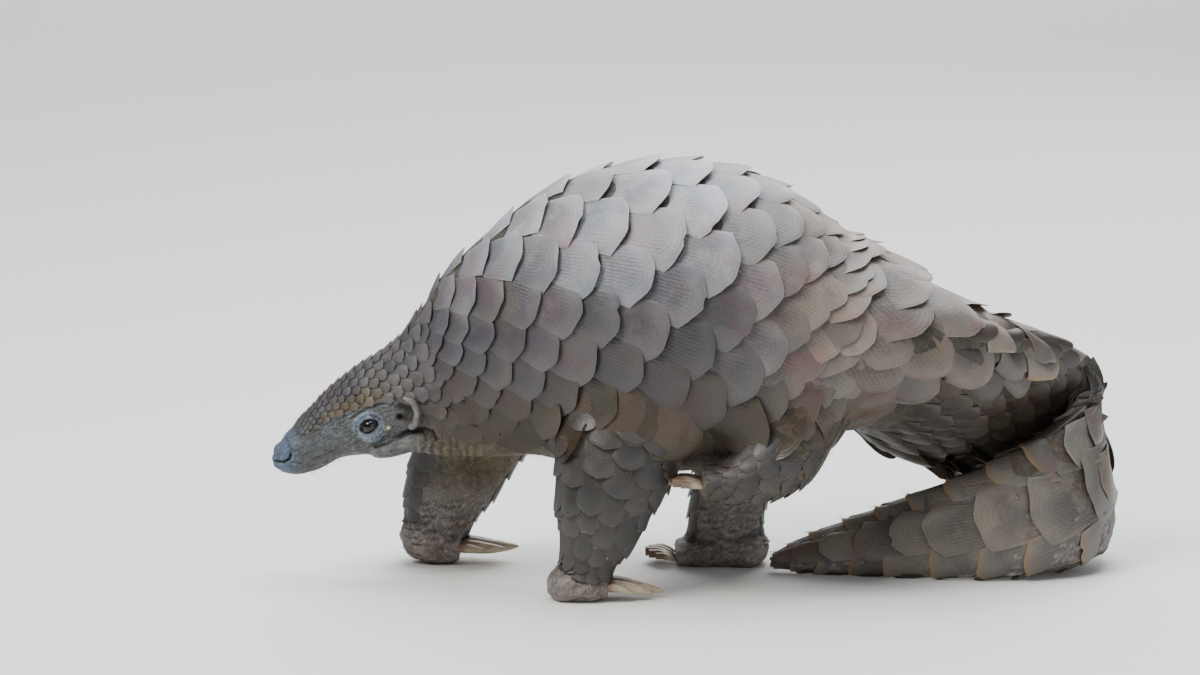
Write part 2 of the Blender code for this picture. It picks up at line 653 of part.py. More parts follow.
def build():
    for item in list(bpy.data.objects):
        bpy.data.objects.remove(item)
    rng = random.Random(7)
    hide = material("scales", (0.30, 0.25, 0.20), 0.55)
    skin = material("skin", (0.24, 0.22, 0.23), 0.70)
    horn = material("claws", (0.46, 0.37, 0.27), 0.45)
    glass = material("eye", (0.012, 0.010, 0.010), 0.10)
    lofts = all_lofts()
    spine = lofts["spine"]
    items = []
    body = [(spine.row(row), *rest) for row, *rest in SCALES]
    tail = [(spine.row(row), *rest) for row, *rest in TAIL_SCALES]
    places = lattice(spine, body[0][0], tail[0][0], np.array(body), rng)
    places += lattice(spine, tail[0][0], tail[-1][0], np.array(tail), rng, wrap=True)
    cuts = {name: tuple(spine.row(row) for row in rows) for name, rows in PARTS.items()}
    floor = block((-SLAB, -SLAB, -SLAB), (SLAB, SLAB, 0.0))
    ankle = lofts["hindleg_left"].row(FOOT_ROW)
    pockets = [
        tube(lofts[name], 0.0, ankle if name == "hindleg_left" else 1.0, 0.022, 12, grow=GAP)
        for name in LEGS
    ]
    pockets.append(tube(lofts["hindleg_left"], ankle, 1.0, 0.014, 12, grow=GAP))
    # room for the raised scales of the legs
    for name, rows in LEG_SCALES.items():
        room = 1.2 * rows[0][6] + 0.0026
        pockets.append(tube(lofts[name], lofts[name].row(rows[0][0]), 1.0, 0.016, 12, grow=room))

    for name, (start, end) in cuts.items():
        gaps = (GAP / 2 if start > 0 else 0.0, GAP / 2 if end < 1 else 0.0)
        step, around = 0.020, 16
        if name == "head":
            step, around = 0.015, 14
        if name in ("neck", "torso"):
            step, around = 0.026, 22
        forms = [tube(spine, start, end, step, around, gaps)]
        cutters = []
        forms += shingles(spine, places, start, end)
        if name == "head":
            for side in ("left", "right"):
                extra, cut = head_extras(side)
                forms += extra
                cutters += cut
        if name in ("head", "neck", "torso"):
            cutters += pockets
        if name.startswith("tail"):
            cutters.append(floor)
        items.append(node(name, forms, cutters, hide))

    cover = {}
    for name, rows in LEG_SCALES.items():
        table = np.array([(lofts[name].row(row), *rest) for row, *rest in rows])
        outer = (0.52 if "hind" in name else 0.40) * (1 if name.endswith("left") else -1)
        cover[name] = lattice(lofts[name], table[0, 0], table[-1, 0], table, rng, middle=outer)

    for name in LEGS:
        foot = name.replace("leg", "foot")
        cutters = []
        if foot in FOOT_TOP:
            cutters.append(block((-SLAB, -SLAB, -SLAB), (SLAB, SLAB, FOOT_TOP[foot] + GAP)))
        end = lofts[name].row(FOOT_ROW) if foot not in FOOT_TOP else 1.0
        gaps = (0.0, GAP / 2 if end < 1 else 0.0)
        forms = [tube(lofts[name], 0.0, end, 0.022, 12, gaps)]
        forms += shingles(lofts[name], cover[name], 0.0, end)
        items.append(node(name, forms, cutters, hide))
    for name in [*FEET, "hindfoot_left"]:
        start = 0.0 if name in FEET else lofts[name].row(FOOT_ROW)
        gaps = (0.0 if name in FEET else GAP / 2, 0.0)
        forms = [tube(lofts[name], start, 1.0, 0.014, 12, gaps)]
        if name not in FEET:
            forms += shingles(lofts[name], cover["hindleg_left"], start, 1.0)
        cutters = [floor] if name in FEET else []
        if name in FOOT_TOP:
            cutters.append(block((-SLAB, -SLAB, FOOT_TOP[name]), (SLAB, SLAB, SLAB)))
        items.append(node(name, forms, cutters, skin))
        claws = FORE_CLAWS if name.startswith("fore") else HIND_CLAWS
        for i, size in enumerate(claws):
            items.append(node(f"{name}_claw_{i + 1}", [claw_form(lofts[name], *size)], [], horn))

    for side in ("left", "right"):
        items.append(node(f"ear_{side}", [ear_form(side)], [], skin))
        centre = EYE if side == "left" else mirrored(EYE)
        items.append(node(f"eye_{side}", [ball(centre, (EYE_RADIUS,) * 3, 12, 7)], [], glass))
    shift_all(items)


build()
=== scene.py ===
# Walking Indian pangolin as a museum model: one skin, loose horny scales, face, claws and bristles.
# Metres, the head towards -X, the left side of the animal towards -Y.

import math
import random

import bpy
import numpy as np
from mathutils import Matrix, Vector, noise
from mathutils.bvhtree import BVHTree


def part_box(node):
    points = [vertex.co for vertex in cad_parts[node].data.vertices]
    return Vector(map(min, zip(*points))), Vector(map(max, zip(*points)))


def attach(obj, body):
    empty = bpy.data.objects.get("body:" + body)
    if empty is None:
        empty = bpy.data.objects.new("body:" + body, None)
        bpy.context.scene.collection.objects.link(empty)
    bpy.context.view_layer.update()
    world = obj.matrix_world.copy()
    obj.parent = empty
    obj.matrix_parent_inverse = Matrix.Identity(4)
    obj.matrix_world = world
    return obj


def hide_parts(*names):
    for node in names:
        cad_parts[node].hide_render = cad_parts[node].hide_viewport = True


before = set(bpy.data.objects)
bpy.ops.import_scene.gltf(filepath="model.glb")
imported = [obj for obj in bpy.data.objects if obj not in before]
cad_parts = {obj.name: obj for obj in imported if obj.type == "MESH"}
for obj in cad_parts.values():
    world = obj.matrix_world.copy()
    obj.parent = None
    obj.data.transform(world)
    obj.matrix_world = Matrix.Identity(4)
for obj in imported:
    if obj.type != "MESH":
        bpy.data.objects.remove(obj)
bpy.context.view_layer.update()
dice = random.Random(11)

# The sections that the body is swept through, the same as in the solids
bodyForm = {
    # x and z of the back line, x and z of the belly line, half width
    "spine": [
        (-0.3258, 0.1040, -0.3252, 0.0975, 0.0035),
        (-0.3232, 0.1085, -0.3215, 0.0895, 0.0085),
        (-0.3165, 0.1140, -0.3136, 0.0845, 0.0118),
        (-0.3042, 0.1243, -0.2980, 0.0858, 0.0130),
        (-0.2886, 0.1395, -0.2808, 0.0945, 0.0160),
        (-0.2691, 0.1570, -0.2652, 0.0972, 0.0215),
        (-0.2480, 0.1735, -0.2434, 0.0982, 0.0275),
        (-0.2262, 0.1885, -0.2184, 0.0985, 0.0320),
        (-0.2067, 0.2065, -0.1950, 0.0942, 0.0370),
        (-0.1856, 0.2300, -0.1677, 0.0911, 0.0470),
        (-0.1565, 0.2640, -0.1326, 0.0895, 0.0620),
        (-0.1215, 0.2945, -0.0936, 0.0879, 0.0760),
        (-0.0770, 0.3225, -0.0507, 0.0863, 0.0880),
        (-0.0305, 0.3325, -0.0156, 0.0863, 0.0950),
        (0.0150, 0.3285, 0.0172, 0.0863, 0.0980),
        (0.0575, 0.3115, 0.0507, 0.0895, 0.0960),
        (0.0990, 0.2895, 0.0819, 0.0990, 0.0900),
        (0.1370, 0.2680, 0.1120, 0.1150, 0.0840),
    ],
    "spineSquareness": 2.15,
    # x, y and z of the middle, half width, height above and below it, roll in degrees
    "tail": [
        (0.1700, 0.0020, 0.1660, 0.0860, 0.0620, 0.0480, 38.0),
        (0.2085, 0.0230, 0.1450, 0.0815, 0.0480, 0.0330, 44.0),
        (0.2440, 0.0500, 0.1340, 0.0750, 0.0370, 0.0230, 50.0),
        (0.2760, 0.0780, 0.1060, 0.0710, 0.0280, 0.0180, 63.0),
        (0.3050, 0.0840, 0.0870, 0.0670, 0.0230, 0.0150, 72.0),
        (0.3180, 0.0560, 0.0750, 0.0630, 0.0210, 0.0140, 77.0),
        (0.3050, 0.0260, 0.0650, 0.0585, 0.0200, 0.0135, 78.0),
        (0.2720, 0.0080, 0.0535, 0.0530, 0.0190, 0.0130, 76.0),
        (0.2350, 0.0060, 0.0436, 0.0460, 0.0175, 0.0120, 73.0),
        (0.1950, 0.0100, 0.0350, 0.0385, 0.0155, 0.0105, 70.0),
        (0.1550, 0.0160, 0.0266, 0.0305, 0.0130, 0.0090, 66.0),
        (0.1150, 0.0220, 0.0186, 0.0220, 0.0105, 0.0075, 62.0),
        (0.0840, 0.0270, 0.0122, 0.0145, 0.0080, 0.0060, 56.0),
        (0.0660, 0.0295, 0.0080, 0.0065, 0.0045, 0.0040, 52.0),
    ],
    "tailSquareness": 1.8,
    # x, y and z of the middle, half width, depth to the front and to the back
    "legs": {
        "forelegLeft": [
            (-0.0500, -0.0440, 0.1620, 0.0330, 0.0430, 0.0430),
            (-0.0520, -0.0540, 0.1320, 0.0350, 0.0490, 0.0500),
            (-0.0600, -0.0620, 0.1000, 0.0340, 0.0465, 0.0465),
            (-0.0670, -0.0660, 0.0765, 0.0310, 0.0390, 0.0390),
            (-0.0720, -0.0670, 0.0528, 0.0270, 0.0325, 0.0320),
            (-0.0780, -0.0670, 0.0350, 0.0225, 0.0235, 0.0240),
            (-0.0805, -0.0670, 0.0150, 0.0190, 0.0175, 0.0180),
        ],
        "forelegRight": [
            (-0.1480, 0.0370, 0.1420, 0.0250, 0.0360, 0.0380),
            (-0.1620, 0.0520, 0.1150, 0.0270, 0.0380, 0.0420),
            (-0.1780, 0.0620, 0.0876, 0.0270, 0.0400, 0.0400),
            (-0.1870, 0.0630, 0.0690, 0.0260, 0.0380, 0.0380),
            (-0.1950, 0.0630, 0.0500, 0.0235, 0.0330, 0.0320),
            (-0.2000, 0.0630, 0.0280, 0.0215, 0.0270, 0.0260),
        ],
        "hindlegLeft": [
            (0.0900, -0.0480, 0.1620, 0.0300, 0.0320, 0.0320),
            (0.0820, -0.0600, 0.1360, 0.0310, 0.0330, 0.0320),
            (0.0680, -0.0680, 0.1130, 0.0310, 0.0330, 0.0310),
            (0.0480, -0.0720, 0.0985, 0.0290, 0.0240, 0.0240),
            (0.0270, -0.0740, 0.0925, 0.0260, 0.0175, 0.0170),
            (0.0080, -0.0745, 0.0945, 0.0225, 0.0115, 0.0120),
        ],
        "hindlegRight": [
            (0.0640, 0.0440, 0.1500, 0.0320, 0.0380, 0.0380),
            (0.0500, 0.0540, 0.1100, 0.0330, 0.0370, 0.0370),
            (0.0380, 0.0590, 0.0760, 0.0300, 0.0330, 0.0330),
            (0.0310, 0.0600, 0.0480, 0.0260, 0.0310, 0.0310),
            (0.0290, 0.0600, 0.0170, 0.0245, 0.0300, 0.0300),
        ],
    },
    # x, y and z of the middle, half width, height above and below, heel first
    "feet": {
        "forefootLeft": [
            (-0.1110, -0.0670, 0.0120, 0.0080, 0.0050, 0.0070),
            (-0.1050, -0.0670, 0.0120, 0.0180, 0.0115, 0.0130),
            (-0.0900, -0.0670, 0.0125, 0.0235, 0.0150, 0.0145),
            (-0.0740, -0.0670, 0.0122, 0.0225, 0.0135, 0.0140),
            (-0.0640, -0.0670, 0.0118, 0.0195, 0.0095, 0.0105),
        ],
        "forefootRight": [
            (-0.2280, 0.0630, 0.0290, 0.0080, 0.0070, 0.0070),
            (-0.2220, 0.0630, 0.0270, 0.0175, 0.0170, 0.0150),
            (-0.2070, 0.0630, 0.0210, 0.0225, 0.0210, 0.0205),
            (-0.1920, 0.0630, 0.0158, 0.0215, 0.0170, 0.0170),
            (-0.1810, 0.0630, 0.0148, 0.0190, 0.0110, 0.0120),
        ],
        "hindfootRight": [
            (0.0640, 0.0600, 0.0110, 0.0100, 0.0050, 0.0060),
            (0.0570, 0.0600, 0.0120, 0.0220, 0.0120, 0.0135),
            (0.0320, 0.0600, 0.0120, 0.0270, 0.0170, 0.0145),
            (0.0060, 0.0600, 0.0110, 0.0270, 0.0120, 0.0130),
            (-0.0100, 0.0600, 0.0095, 0.0240, 0.0075, 0.0105),
        ],
    },
    "limbSquareness": 2.2,
}

# What the head carries on the left side; the right side mirrors it
headForm = {
    "eye": (-0.2492, -0.0215, 0.1265),
    "eyeRadius": 0.0068,
    "earPath": [
        (-0.2190, -0.0300, 0.1500),
        (-0.2150, -0.0325, 0.1465),
        (-0.2115, -0.0340, 0.1400),
        (-0.2120, -0.0345, 0.1330),
        (-0.2150, -0.0335, 0.1280),
    ],
    "earThick": [0.0016, 0.0030, 0.0036, 0.0032, 0.0018],
    "cheekPath": [
        (-0.2460, -0.0170, 0.1080),
        (-0.2350, -0.0235, 0.1105),
        (-0.2200, -0.0270, 0.1150),
        (-0.2080, -0.0290, 0.1200),
    ],
    "cheekThick": [0.0040, 0.0066, 0.0070, 0.0050],
    "lids": (0.0105, 0.0078, 0.0095),
    "noseBulb": (-0.3175, 0.0, 0.1020),
    "noseSize": (0.0085, 0.0096, 0.0088),
}


def mirrored(place, side):
    return (place[0], place[1] if side == "left" else -place[1], place[2])


def moveOfSolids():
    # The solids stand with their origin under the middle of the animal
    low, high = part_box("eye_left")
    return (np.array(low) + np.array(high)) / 2 - np.array(headForm["eye"])


shift = moveOfSolids()
print("frame loaded, body shifted by", [round(float(v), 4) for v in shift])


def ease(value, low, high):
    # Grows smoothly from 0 at the low end to 1 at the high one
    t = np.clip((np.asarray(value, float) - low) / (high - low), 0.0, 1.0)
    return t * t * (3 - 2 * t)


def falling(value, high, low):
    # The same the other way: 0 at the high end and 1 at the low one
    return ease(-np.asarray(value, float), -high, -low)


class Sweep:
    # A body swept through sections: s runs along it from 0 to 1, q round it from 0 on top to 1 or -1 below
    samples = 500
    turns = 181

    def __init__(self, centres, ups, sizes):
        centres, ups, sizes = (np.array(rows, float) for rows in (centres, ups, sizes))
        steps = np.linalg.norm(np.diff(centres, axis=0), axis=1)
        self.knots = np.concatenate([[0.0], np.cumsum(steps)])
        self.length = self.knots[-1]
        self.knots = self.knots / self.length
        at = np.linspace(0.0, 1.0, self.samples)
        self.centre = self.through(centres, at)
        self.size = self.through(sizes, at)
        along = np.gradient(self.centre, axis=0)
        self.along = along / np.linalg.norm(along, axis=1)[:, None]
        right = np.cross(self.through(ups, at), self.along)
        self.right = right / np.linalg.norm(right, axis=1)[:, None]
        self.up = np.cross(self.along, self.right)
        angle = np.linspace(0.0, math.pi, self.turns)
        flat = self.section(self.size[:, None, :], angle[None, :])
        run = np.linalg.norm(np.diff(np.stack(flat, -1), axis=1), axis=-1)
        run = np.concatenate([np.zeros((self.samples, 1)), np.cumsum(run, axis=1)], axis=1)
        self.girth = run[:, -1]
        share = np.linspace(0.0, 1.0, self.turns)
        self.angles = np.array([np.interp(share, row / row[-1], angle) for row in run])

    def through(self, rows, at):
        # A smooth curve through one row for each knot
        slope = np.gradient(rows, self.knots, axis=0)
        i = np.clip(np.searchsorted(self.knots, at, side="right") - 1, 0, len(rows) - 2)
        span = (self.knots[i + 1] - self.knots[i])[:, None]
        t = ((at - self.knots[i]) / span[:, 0])[:, None]
        start = (2 * t**3 - 3 * t**2 + 1) * rows[i] + (t**3 - 2 * t**2 + t) * span * slope[i]
        return start + (3 * t**2 - 2 * t**3) * rows[i + 1] + (t**3 - t**2) * span * slope[i + 1]

    def section(self, size, angle):
        power = 2.0 / size[..., 3]
        across = np.sign(np.sin(angle)) * np.abs(np.sin(angle)) ** power * size[..., 0]
        upward = np.sign(np.cos(angle)) * np.abs(np.cos(angle)) ** power
        return across, upward * np.where(upward > 0, size[..., 1], size[..., 2])

    def row(self, number):
        return float(np.interp(number, np.arange(len(self.knots)), self.knots))

    def number(self, s):
        # The row number of an s value, the other way round
        return np.interp(s, self.knots, np.arange(len(self.knots)))

    def read(self, rows, s):
        at = np.clip(s, 0.0, 1.0) * (self.samples - 1)
        low = np.minimum(at.astype(int), self.samples - 2)
        t = at - low
        if rows.ndim > 1:
            t = t[..., None]
        return rows[low] * (1 - t) + rows[low + 1] * t

    def place(self, s, q, grow=0.0):
        s, q, grow = np.broadcast_arrays(*(np.asarray(values, float) for values in (s, q, grow)))
        q = (q + 1.0) % 2.0 - 1.0
        near = np.round(np.clip(s, 0, 1) * (self.samples - 1)).astype(int)
        spot = np.abs(q) * (self.turns - 1)
        low = np.minimum(spot.astype(int), self.turns - 2)
        angle = self.angles[near, low] * (1 - (spot - low)) + self.angles[near, low + 1] * (spot - low)
        angle = angle * np.where(q < 0, -1.0, 1.0)
        size = self.read(self.size, s).copy()
        size[..., :3] = np.maximum(size[..., :3] + grow[..., None], 0.0008)
        across, upward = self.section(size, angle)
        flat = self.read(self.right, s) * across[..., None] + self.read(self.up, s) * upward[..., None]
        return self.read(self.centre, s) + flat + shift

    def pace(self, s, q):
        # Metres per unit of s and of q at a place on the surface
        along = np.linalg.norm(self.place(s + 0.004, q) - self.place(s - 0.004, q), axis=-1) / 0.008
        around = np.linalg.norm(self.place(s, q + 0.03) - self.place(s, q - 0.03), axis=-1) / 0.06
        return along, around


def spineSweep():
    centres, ups, sizes = [], [], []
    for topX, topZ, lowX, lowZ, halfWidth in bodyForm["spine"]:
        top, low = np.array([topX, 0, topZ]), np.array([lowX, 0, lowZ])
        halfHeight = np.linalg.norm(top - low) / 2
        centres.append((top + low) / 2)
        ups.append((top - low) / (2 * halfHeight))
        sizes.append((halfWidth, halfHeight, halfHeight, bodyForm["spineSquareness"]))
    middles = np.array([row[:3] for row in bodyForm["tail"]])
    headings = np.gradient(np.vstack([centres[-1], middles]), axis=0)[1:]
    for middle, heading, row in zip(middles, headings, bodyForm["tail"]):
        heading = heading / np.linalg.norm(heading)
        side = np.cross([0, 0, 1], heading)
        side /= np.linalg.norm(side)
        turn = math.radians(row[6])
        centres.append(middle)
        ups.append(np.cross(heading, side) * math.cos(turn) + side * math.sin(turn))
        sizes.append((row[3], row[4], row[5], bodyForm["tailSquareness"]))
    return Sweep(centres, ups, sizes)


def limbSweep(rows, up, lastUp=None):
    shares = np.linspace(0.0, 1.0, len(rows))[:, None]
    ups = np.array(up) * (1 - shares) + np.array(lastUp or up) * shares
    sizes = [(row[3], row[4], row[5], bodyForm["limbSquareness"]) for row in rows]
    return Sweep([row[:3] for row in rows], ups, sizes)


def makeSweeps():
    made = {"spine": spineSweep()}
    for name, rows in bodyForm["legs"].items():
        made[name] = limbSweep(rows, (-1, 0, 0.1), (0, 0, 1) if name == "hindlegLeft" else None)
    for name, rows in bodyForm["feet"].items():
        made[name] = limbSweep(rows, (0, 0, 1))
    return made


sweeps = makeSweeps()
spine = sweeps["spine"]


def bandFaces(rows, around):
    # Quads between closed rings of points
    faces = []
    for i in range(rows - 1):
        for j in range(around):
            k = (j + 1) % around
            faces.append((i * around + j, i * around + k, (i + 1) * around + k, (i + 1) * around + j))
    return faces


def tubeFaces(rows, around):
    # The same with both ends closed
    faces = bandFaces(rows, around)
    faces.append(tuple(range(around))[::-1])
    faces.append(tuple((rows - 1) * around + j for j in range(around)))
    return faces


def tube(sweep, count, around, grow=0.0):
    # A closed tube over the whole sweep
    s = np.linspace(0.0, 1.0, count)
    q = np.linspace(-1.0, 1.0, around, endpoint=False)
    growth = grow(s)[:, None] if callable(grow) else grow
    points = sweep.place(s[:, None], q[None, :], growth)
    return points.reshape(-1, 3), tubeFaces(count, around)


def ball(centre, radii, columns=24, rows=14):
    polar = np.linspace(0, math.pi, rows + 1)[1:-1]
    turn = np.linspace(0, 2 * math.pi, columns, endpoint=False)
    wide, high = np.sin(polar)[:, None], np.cos(polar)[:, None]
    ring = np.stack(np.broadcast_arrays(wide * np.cos(turn), wide * np.sin(turn), high), -1)
    vertices = np.vstack([[[0, 0, 1]], ring.reshape(-1, 3), [[0, 0, -1]]])
    vertices = vertices * np.array(radii) + np.array(centre)
    last = len(vertices) - 1
    faces = []
    for j in range(columns):
        k = (j + 1) % columns
        faces.append((0, 1 + j, 1 + k))
        faces.append((last, last - columns + k, last - columns + j))
        for i in range(rows - 2):
            low = 1 + i * columns
            faces.append((low + j, low + columns + j, low + columns + k, low + k))
    return vertices, faces


def joined(forms):
    vertices, faces, count = [], [], 0
    for points, polygons in forms:
        vertices.append(np.asarray(points, float))
        faces += [tuple(i + count for i in polygon) for polygon in polygons]
        count += len(points)
    return np.vstack(vertices), faces


def newPiece(name, vertices, faces, smooth=True):
    mesh = bpy.data.meshes.new(name)
    mesh.from_pydata([tuple(v) for v in vertices], [], faces)
    mesh.update()
    if smooth:
        mesh.shade_smooth()
    piece = bpy.data.objects.new(name, mesh)
    bpy.context.scene.collection.objects.link(piece)
    return piece


def pointsOf(mesh):
    flat = np.empty(len(mesh.vertices) * 3, np.float32)
    mesh.vertices.foreach_get("co", flat)
    return flat.reshape(-1, 3).astype(float)


def normalsOf(mesh):
    flat = np.empty(len(mesh.vertices) * 3, np.float32)
    mesh.vertices.foreach_get("normal", flat)
    return flat.reshape(-1, 3).astype(float)


def putPoints(mesh, points):
    mesh.vertices.foreach_set("co", np.asarray(points, np.float32).ravel())
    mesh.update()


def edgesOf(mesh):
    flat = np.empty(len(mesh.edges) * 2, np.int32)
    mesh.edges.foreach_get("vertices", flat)
    return flat.reshape(-1, 2)


def putValues(mesh, name, values):
    # A number or a colour for each point
    kind, key = ("FLOAT_COLOR", "color") if np.ndim(values) > 1 else ("FLOAT", "value")
    layer = mesh.attributes.new(name, kind, "POINT")
    layer.data.foreach_set(key, np.asarray(values, np.float32).ravel())


def putMap(mesh, name, values):
    layer = mesh.uv_layers.new(name=name)
    layer.data.foreach_set("uv", values.astype(np.float32).ravel())


def relaxed(values, edges, times, strength=0.5, swell=0.0):
    # Values move towards the mean of their neighbours; swell moves them back in turn, against shrinking
    count = np.bincount(edges.ravel(), minlength=len(values))[:, None] + 1e-9
    for turn in range(times):
        total = np.stack([
            np.bincount(edges[:, 0], values[edges[:, 1], i], len(values))
            + np.bincount(edges[:, 1], values[edges[:, 0], i], len(values))
            for i in range(values.shape[1])], -1)
        values = values + (strength if turn % 2 == 0 or not swell else -swell) * (total / count - values)
    return values


skinForm = {
    "depth": 0.0024,                 # how deep the skin lies under the outer form where scales cover it
    "coverRows": (4.0, 9.0),         # rows of the body over which it sinks to that depth
    "legDepth": 0.0012,
    "spineGrid": (300, 96),          # points along and round each tube before they are melted together
    "legGrid": (60, 48),
    "footGrid": (40, 40),
    "voxel": 0.0026,
    "reach": (-0.36, 0.40),
    "headGain": 2.8,                 # how many times finer the head is than the trunk
    "headSpan": (-0.185, -0.235),
    "headMiddle": 0.12,
    "snoutGain": 2.2,                # added to it at the snout
    "snoutSpan": (-0.265, -0.300),
    "pull": 0.5,                     # smoothing, with a little swelling after each step
    "swell": 0.52,
    "smoothing": 5,
    "drapeSmoothing": 26,
}


def gainTable():
    x = np.linspace(*skinForm["reach"], 4000)
    gain = 1 + (skinForm["headGain"] - 1) * falling(x, *skinForm["headSpan"])
    gain = gain + skinForm["snoutGain"] * falling(x, *skinForm["snoutSpan"])
    stretched = np.concatenate([[0.0], np.cumsum((gain[1:] + gain[:-1]) / 2 * np.diff(x))])
    return x, gain, stretched


def stretchHead(points, back=False):
    # The head is enlarged before the remesh and brought back after it, so that its quads come out finer
    x, gain, stretched = gainTable()
    middle = skinForm["headMiddle"]
    points = points - shift
    if back:
        trueX = np.interp(points[:, 0], stretched, x)
        factor = np.interp(trueX, x, gain)
        out = np.stack([trueX, points[:, 1] / factor, middle + (points[:, 2] - middle) / factor], -1)
    else:
        factor = np.interp(points[:, 0], x, gain)
        out = np.stack([
            np.interp(points[:, 0], x, stretched), points[:, 1] * factor,
            middle + (points[:, 2] - middle) * factor], -1)
    return out + shift


def headParts(side):
    # Closed forms that melt into the head: cheek fold, ear rim, swelling round the eye
    parts = []
    for path, thick in (("cheekPath", "cheekThick"), ("earPath", "earThick")):
        rows = [(*mirrored(place, side), t, t, t) for place, t in zip(headForm[path], headForm[thick])]
        parts.append(tube(limbSweep(rows, (0, 0, 1) if path == "cheekPath" else (-1, 0, 0)), 24, 16))
    parts.append(ball(np.array(mirrored(headForm["eye"], side)) + shift, headForm["lids"]))
    return parts


def skinDepth(s):
    return -skinForm["depth"] * ease(spine.number(s), *skinForm["coverRows"])


def buildSkin():
    forms = [tube(spine, *skinForm["spineGrid"], skinDepth)]
    for name in bodyForm["legs"]:
        forms.append(tube(sweeps[name], *skinForm["legGrid"], -skinForm["legDepth"]))
    for name in bodyForm["feet"]:
        forms.append(tube(sweeps[name], *skinForm["footGrid"]))
    for side in ("left", "right"):
        forms += headParts(side)
    forms.append(ball(np.array(headForm["noseBulb"]) + shift, headForm["noseSize"]))
    vertices, faces = joined(forms)
    raw = newPiece("rawSkin", stretchHead(vertices), faces, False)
    step = raw.modifiers.new("melt", "REMESH")
    step.mode = "VOXEL"
    step.voxel_size = skinForm["voxel"]
    bpy.context.view_layer.update()
    graph = bpy.context.evaluated_depsgraph_get()
    mesh = bpy.data.meshes.new_from_object(raw.evaluated_get(graph))
    bpy.data.objects.remove(raw)
    putPoints(mesh, stretchHead(pointsOf(mesh), back=True))
    edges = edgesOf(mesh)
    putPoints(mesh, relaxed(
        pointsOf(mesh), edges, 2 * skinForm["smoothing"], skinForm["pull"], skinForm["swell"]))
    piece = bpy.data.objects.new("skin", mesh)
    bpy.context.scene.collection.objects.link(piece)
    mesh.name = "skin"
    mesh.shade_smooth()
    return piece


skin = buildSkin()
print("skin:", len(skin.data.polygons), "faces")

# Folds, creases and hollows of the head on the left side
faceForm = {
    "outward": (-0.25, -0.95, 0.15),
    "ahead": (-0.90, 0.20, -0.42),
    "opening": (0.0066, 0.0053),    # half length and half height between the lids
    "corners": 0.16,                # how much longer the opening is at its corners
    "lidThick": 0.0013,
    "lidReach": 0.0138,
    "lidDome": 0.034,               # twice the radius that the lids bulge with
    "lidPoints": 96,
    "lidRings": 28,
    "foldStep": 0.0023,
    "foldHeight": 0.00062,
    "socketDepth": 0.0015,
    # grooves and ridges as seen from the side: width, depth and the path in x and z
    "lines": {
        "mouth": (0.0012, 0.0026, [
            (-0.3240, 0.0962), (-0.3176, 0.0956), (-0.3127, 0.0988), (-0.3118, 0.1020)]),
        "noseCrease": (0.0014, 0.0006, [(-0.3118, 0.1020), (-0.3112, 0.1060), (-0.3147, 0.1132)]),
        "lips": (0.0012, 0.0004, [
            (-0.3127, 0.0968), (-0.3050, 0.0952), (-0.2960, 0.0975), (-0.2860, 0.1020), (-0.2780, 0.1055)]),
        "cheekCrease": (0.0014, 0.0034, [
            (-0.2450, 0.1105), (-0.2330, 0.1165), (-0.2200, 0.1228), (-0.2085, 0.1262), (-0.2005, 0.1235),
            (-0.1975, 0.1175)]),
        "cheek": (0.0056, -0.0030, [
            (-0.2440, 0.1050), (-0.2330, 0.1092), (-0.2190, 0.1145), (-0.2050, 0.1190)]),
        "earRim": (0.0021, -0.0034, [
            (-0.2215, 0.1505), (-0.2150, 0.1475), (-0.2120, 0.1400), (-0.2130, 0.1325), (-0.2170, 0.1278)]),
        "earFront": (0.0048, 0.0030, [(-0.2230, 0.1440), (-0.2190, 0.1400), (-0.2215, 0.1340)]),
        "earHole": (0.0022, 0.0045, [(-0.2262, 0.1350), (-0.2255, 0.1345)]),
        "browCrease": (0.0012, 0.0012, [(-0.2640, 0.1330), (-0.2500, 0.1425), (-0.2360, 0.1470)]),
    },
    "wart": (0.0020, -0.0014, (-0.2345, 0.1262)),
    "wrinkledTo": -0.150,           # the head is wrinkled from the snout back to here
    "grain": {"depth": 0.00034, "tilt": 28.0, "along": 130, "across": 460, "ahead": (-0.20, -0.235)},
    "throat": {
        "depth": 0.0004, "waves": 950, "wander": 60, "behind": (-0.235, -0.200), "ahead": (-0.150, -0.175),
        "under": (0.130, 0.105), "over": (0.082, 0.090)},
    "feet": {"depth": 0.0006, "top": 0.050, "along": 110, "across": 260},
}


def eyeFrame(side):
    outward = np.array(mirrored(faceForm["outward"], side))
    outward /= np.linalg.norm(outward)
    ahead = np.array(mirrored(faceForm["ahead"], side))
    ahead -= outward * float(ahead @ outward)
    ahead /= np.linalg.norm(ahead)
    above = np.cross(outward, ahead)
    above *= math.copysign(1.0, above[2])
    return np.array(mirrored(headForm["eye"], side)) + shift, outward, ahead, above


def awayFrom(points, path):
    # Distance of each point from a line of short straight pieces
    nearest = np.full(len(points), 1e9)
    for start, end in zip(np.array(path[:-1]), np.array(path[1:])):
        run = end - start
        share = np.clip((points - start) @ run / (run @ run), 0.0, 1.0)
        nearest = np.minimum(nearest, np.linalg.norm(points - start - share[:, None] * run, axis=1))
    return nearest


def lineShare(body, name):
    # How much of a face line a point takes, seen from the side and only where the head faces sideways
    width, _, path = faceForm["lines"][name]
    sideways = ease(np.abs(body[:, 1]), 0.002, 0.007)
    return np.exp(-(awayFrom(body[:, [0, 2]], path) / width) ** 2) * sideways


def wartShare(body):
    width, _, place = faceForm["wart"]
    return np.exp(-(np.linalg.norm(body[:, [0, 2]] - np.array(place), axis=1) / width) ** 2)


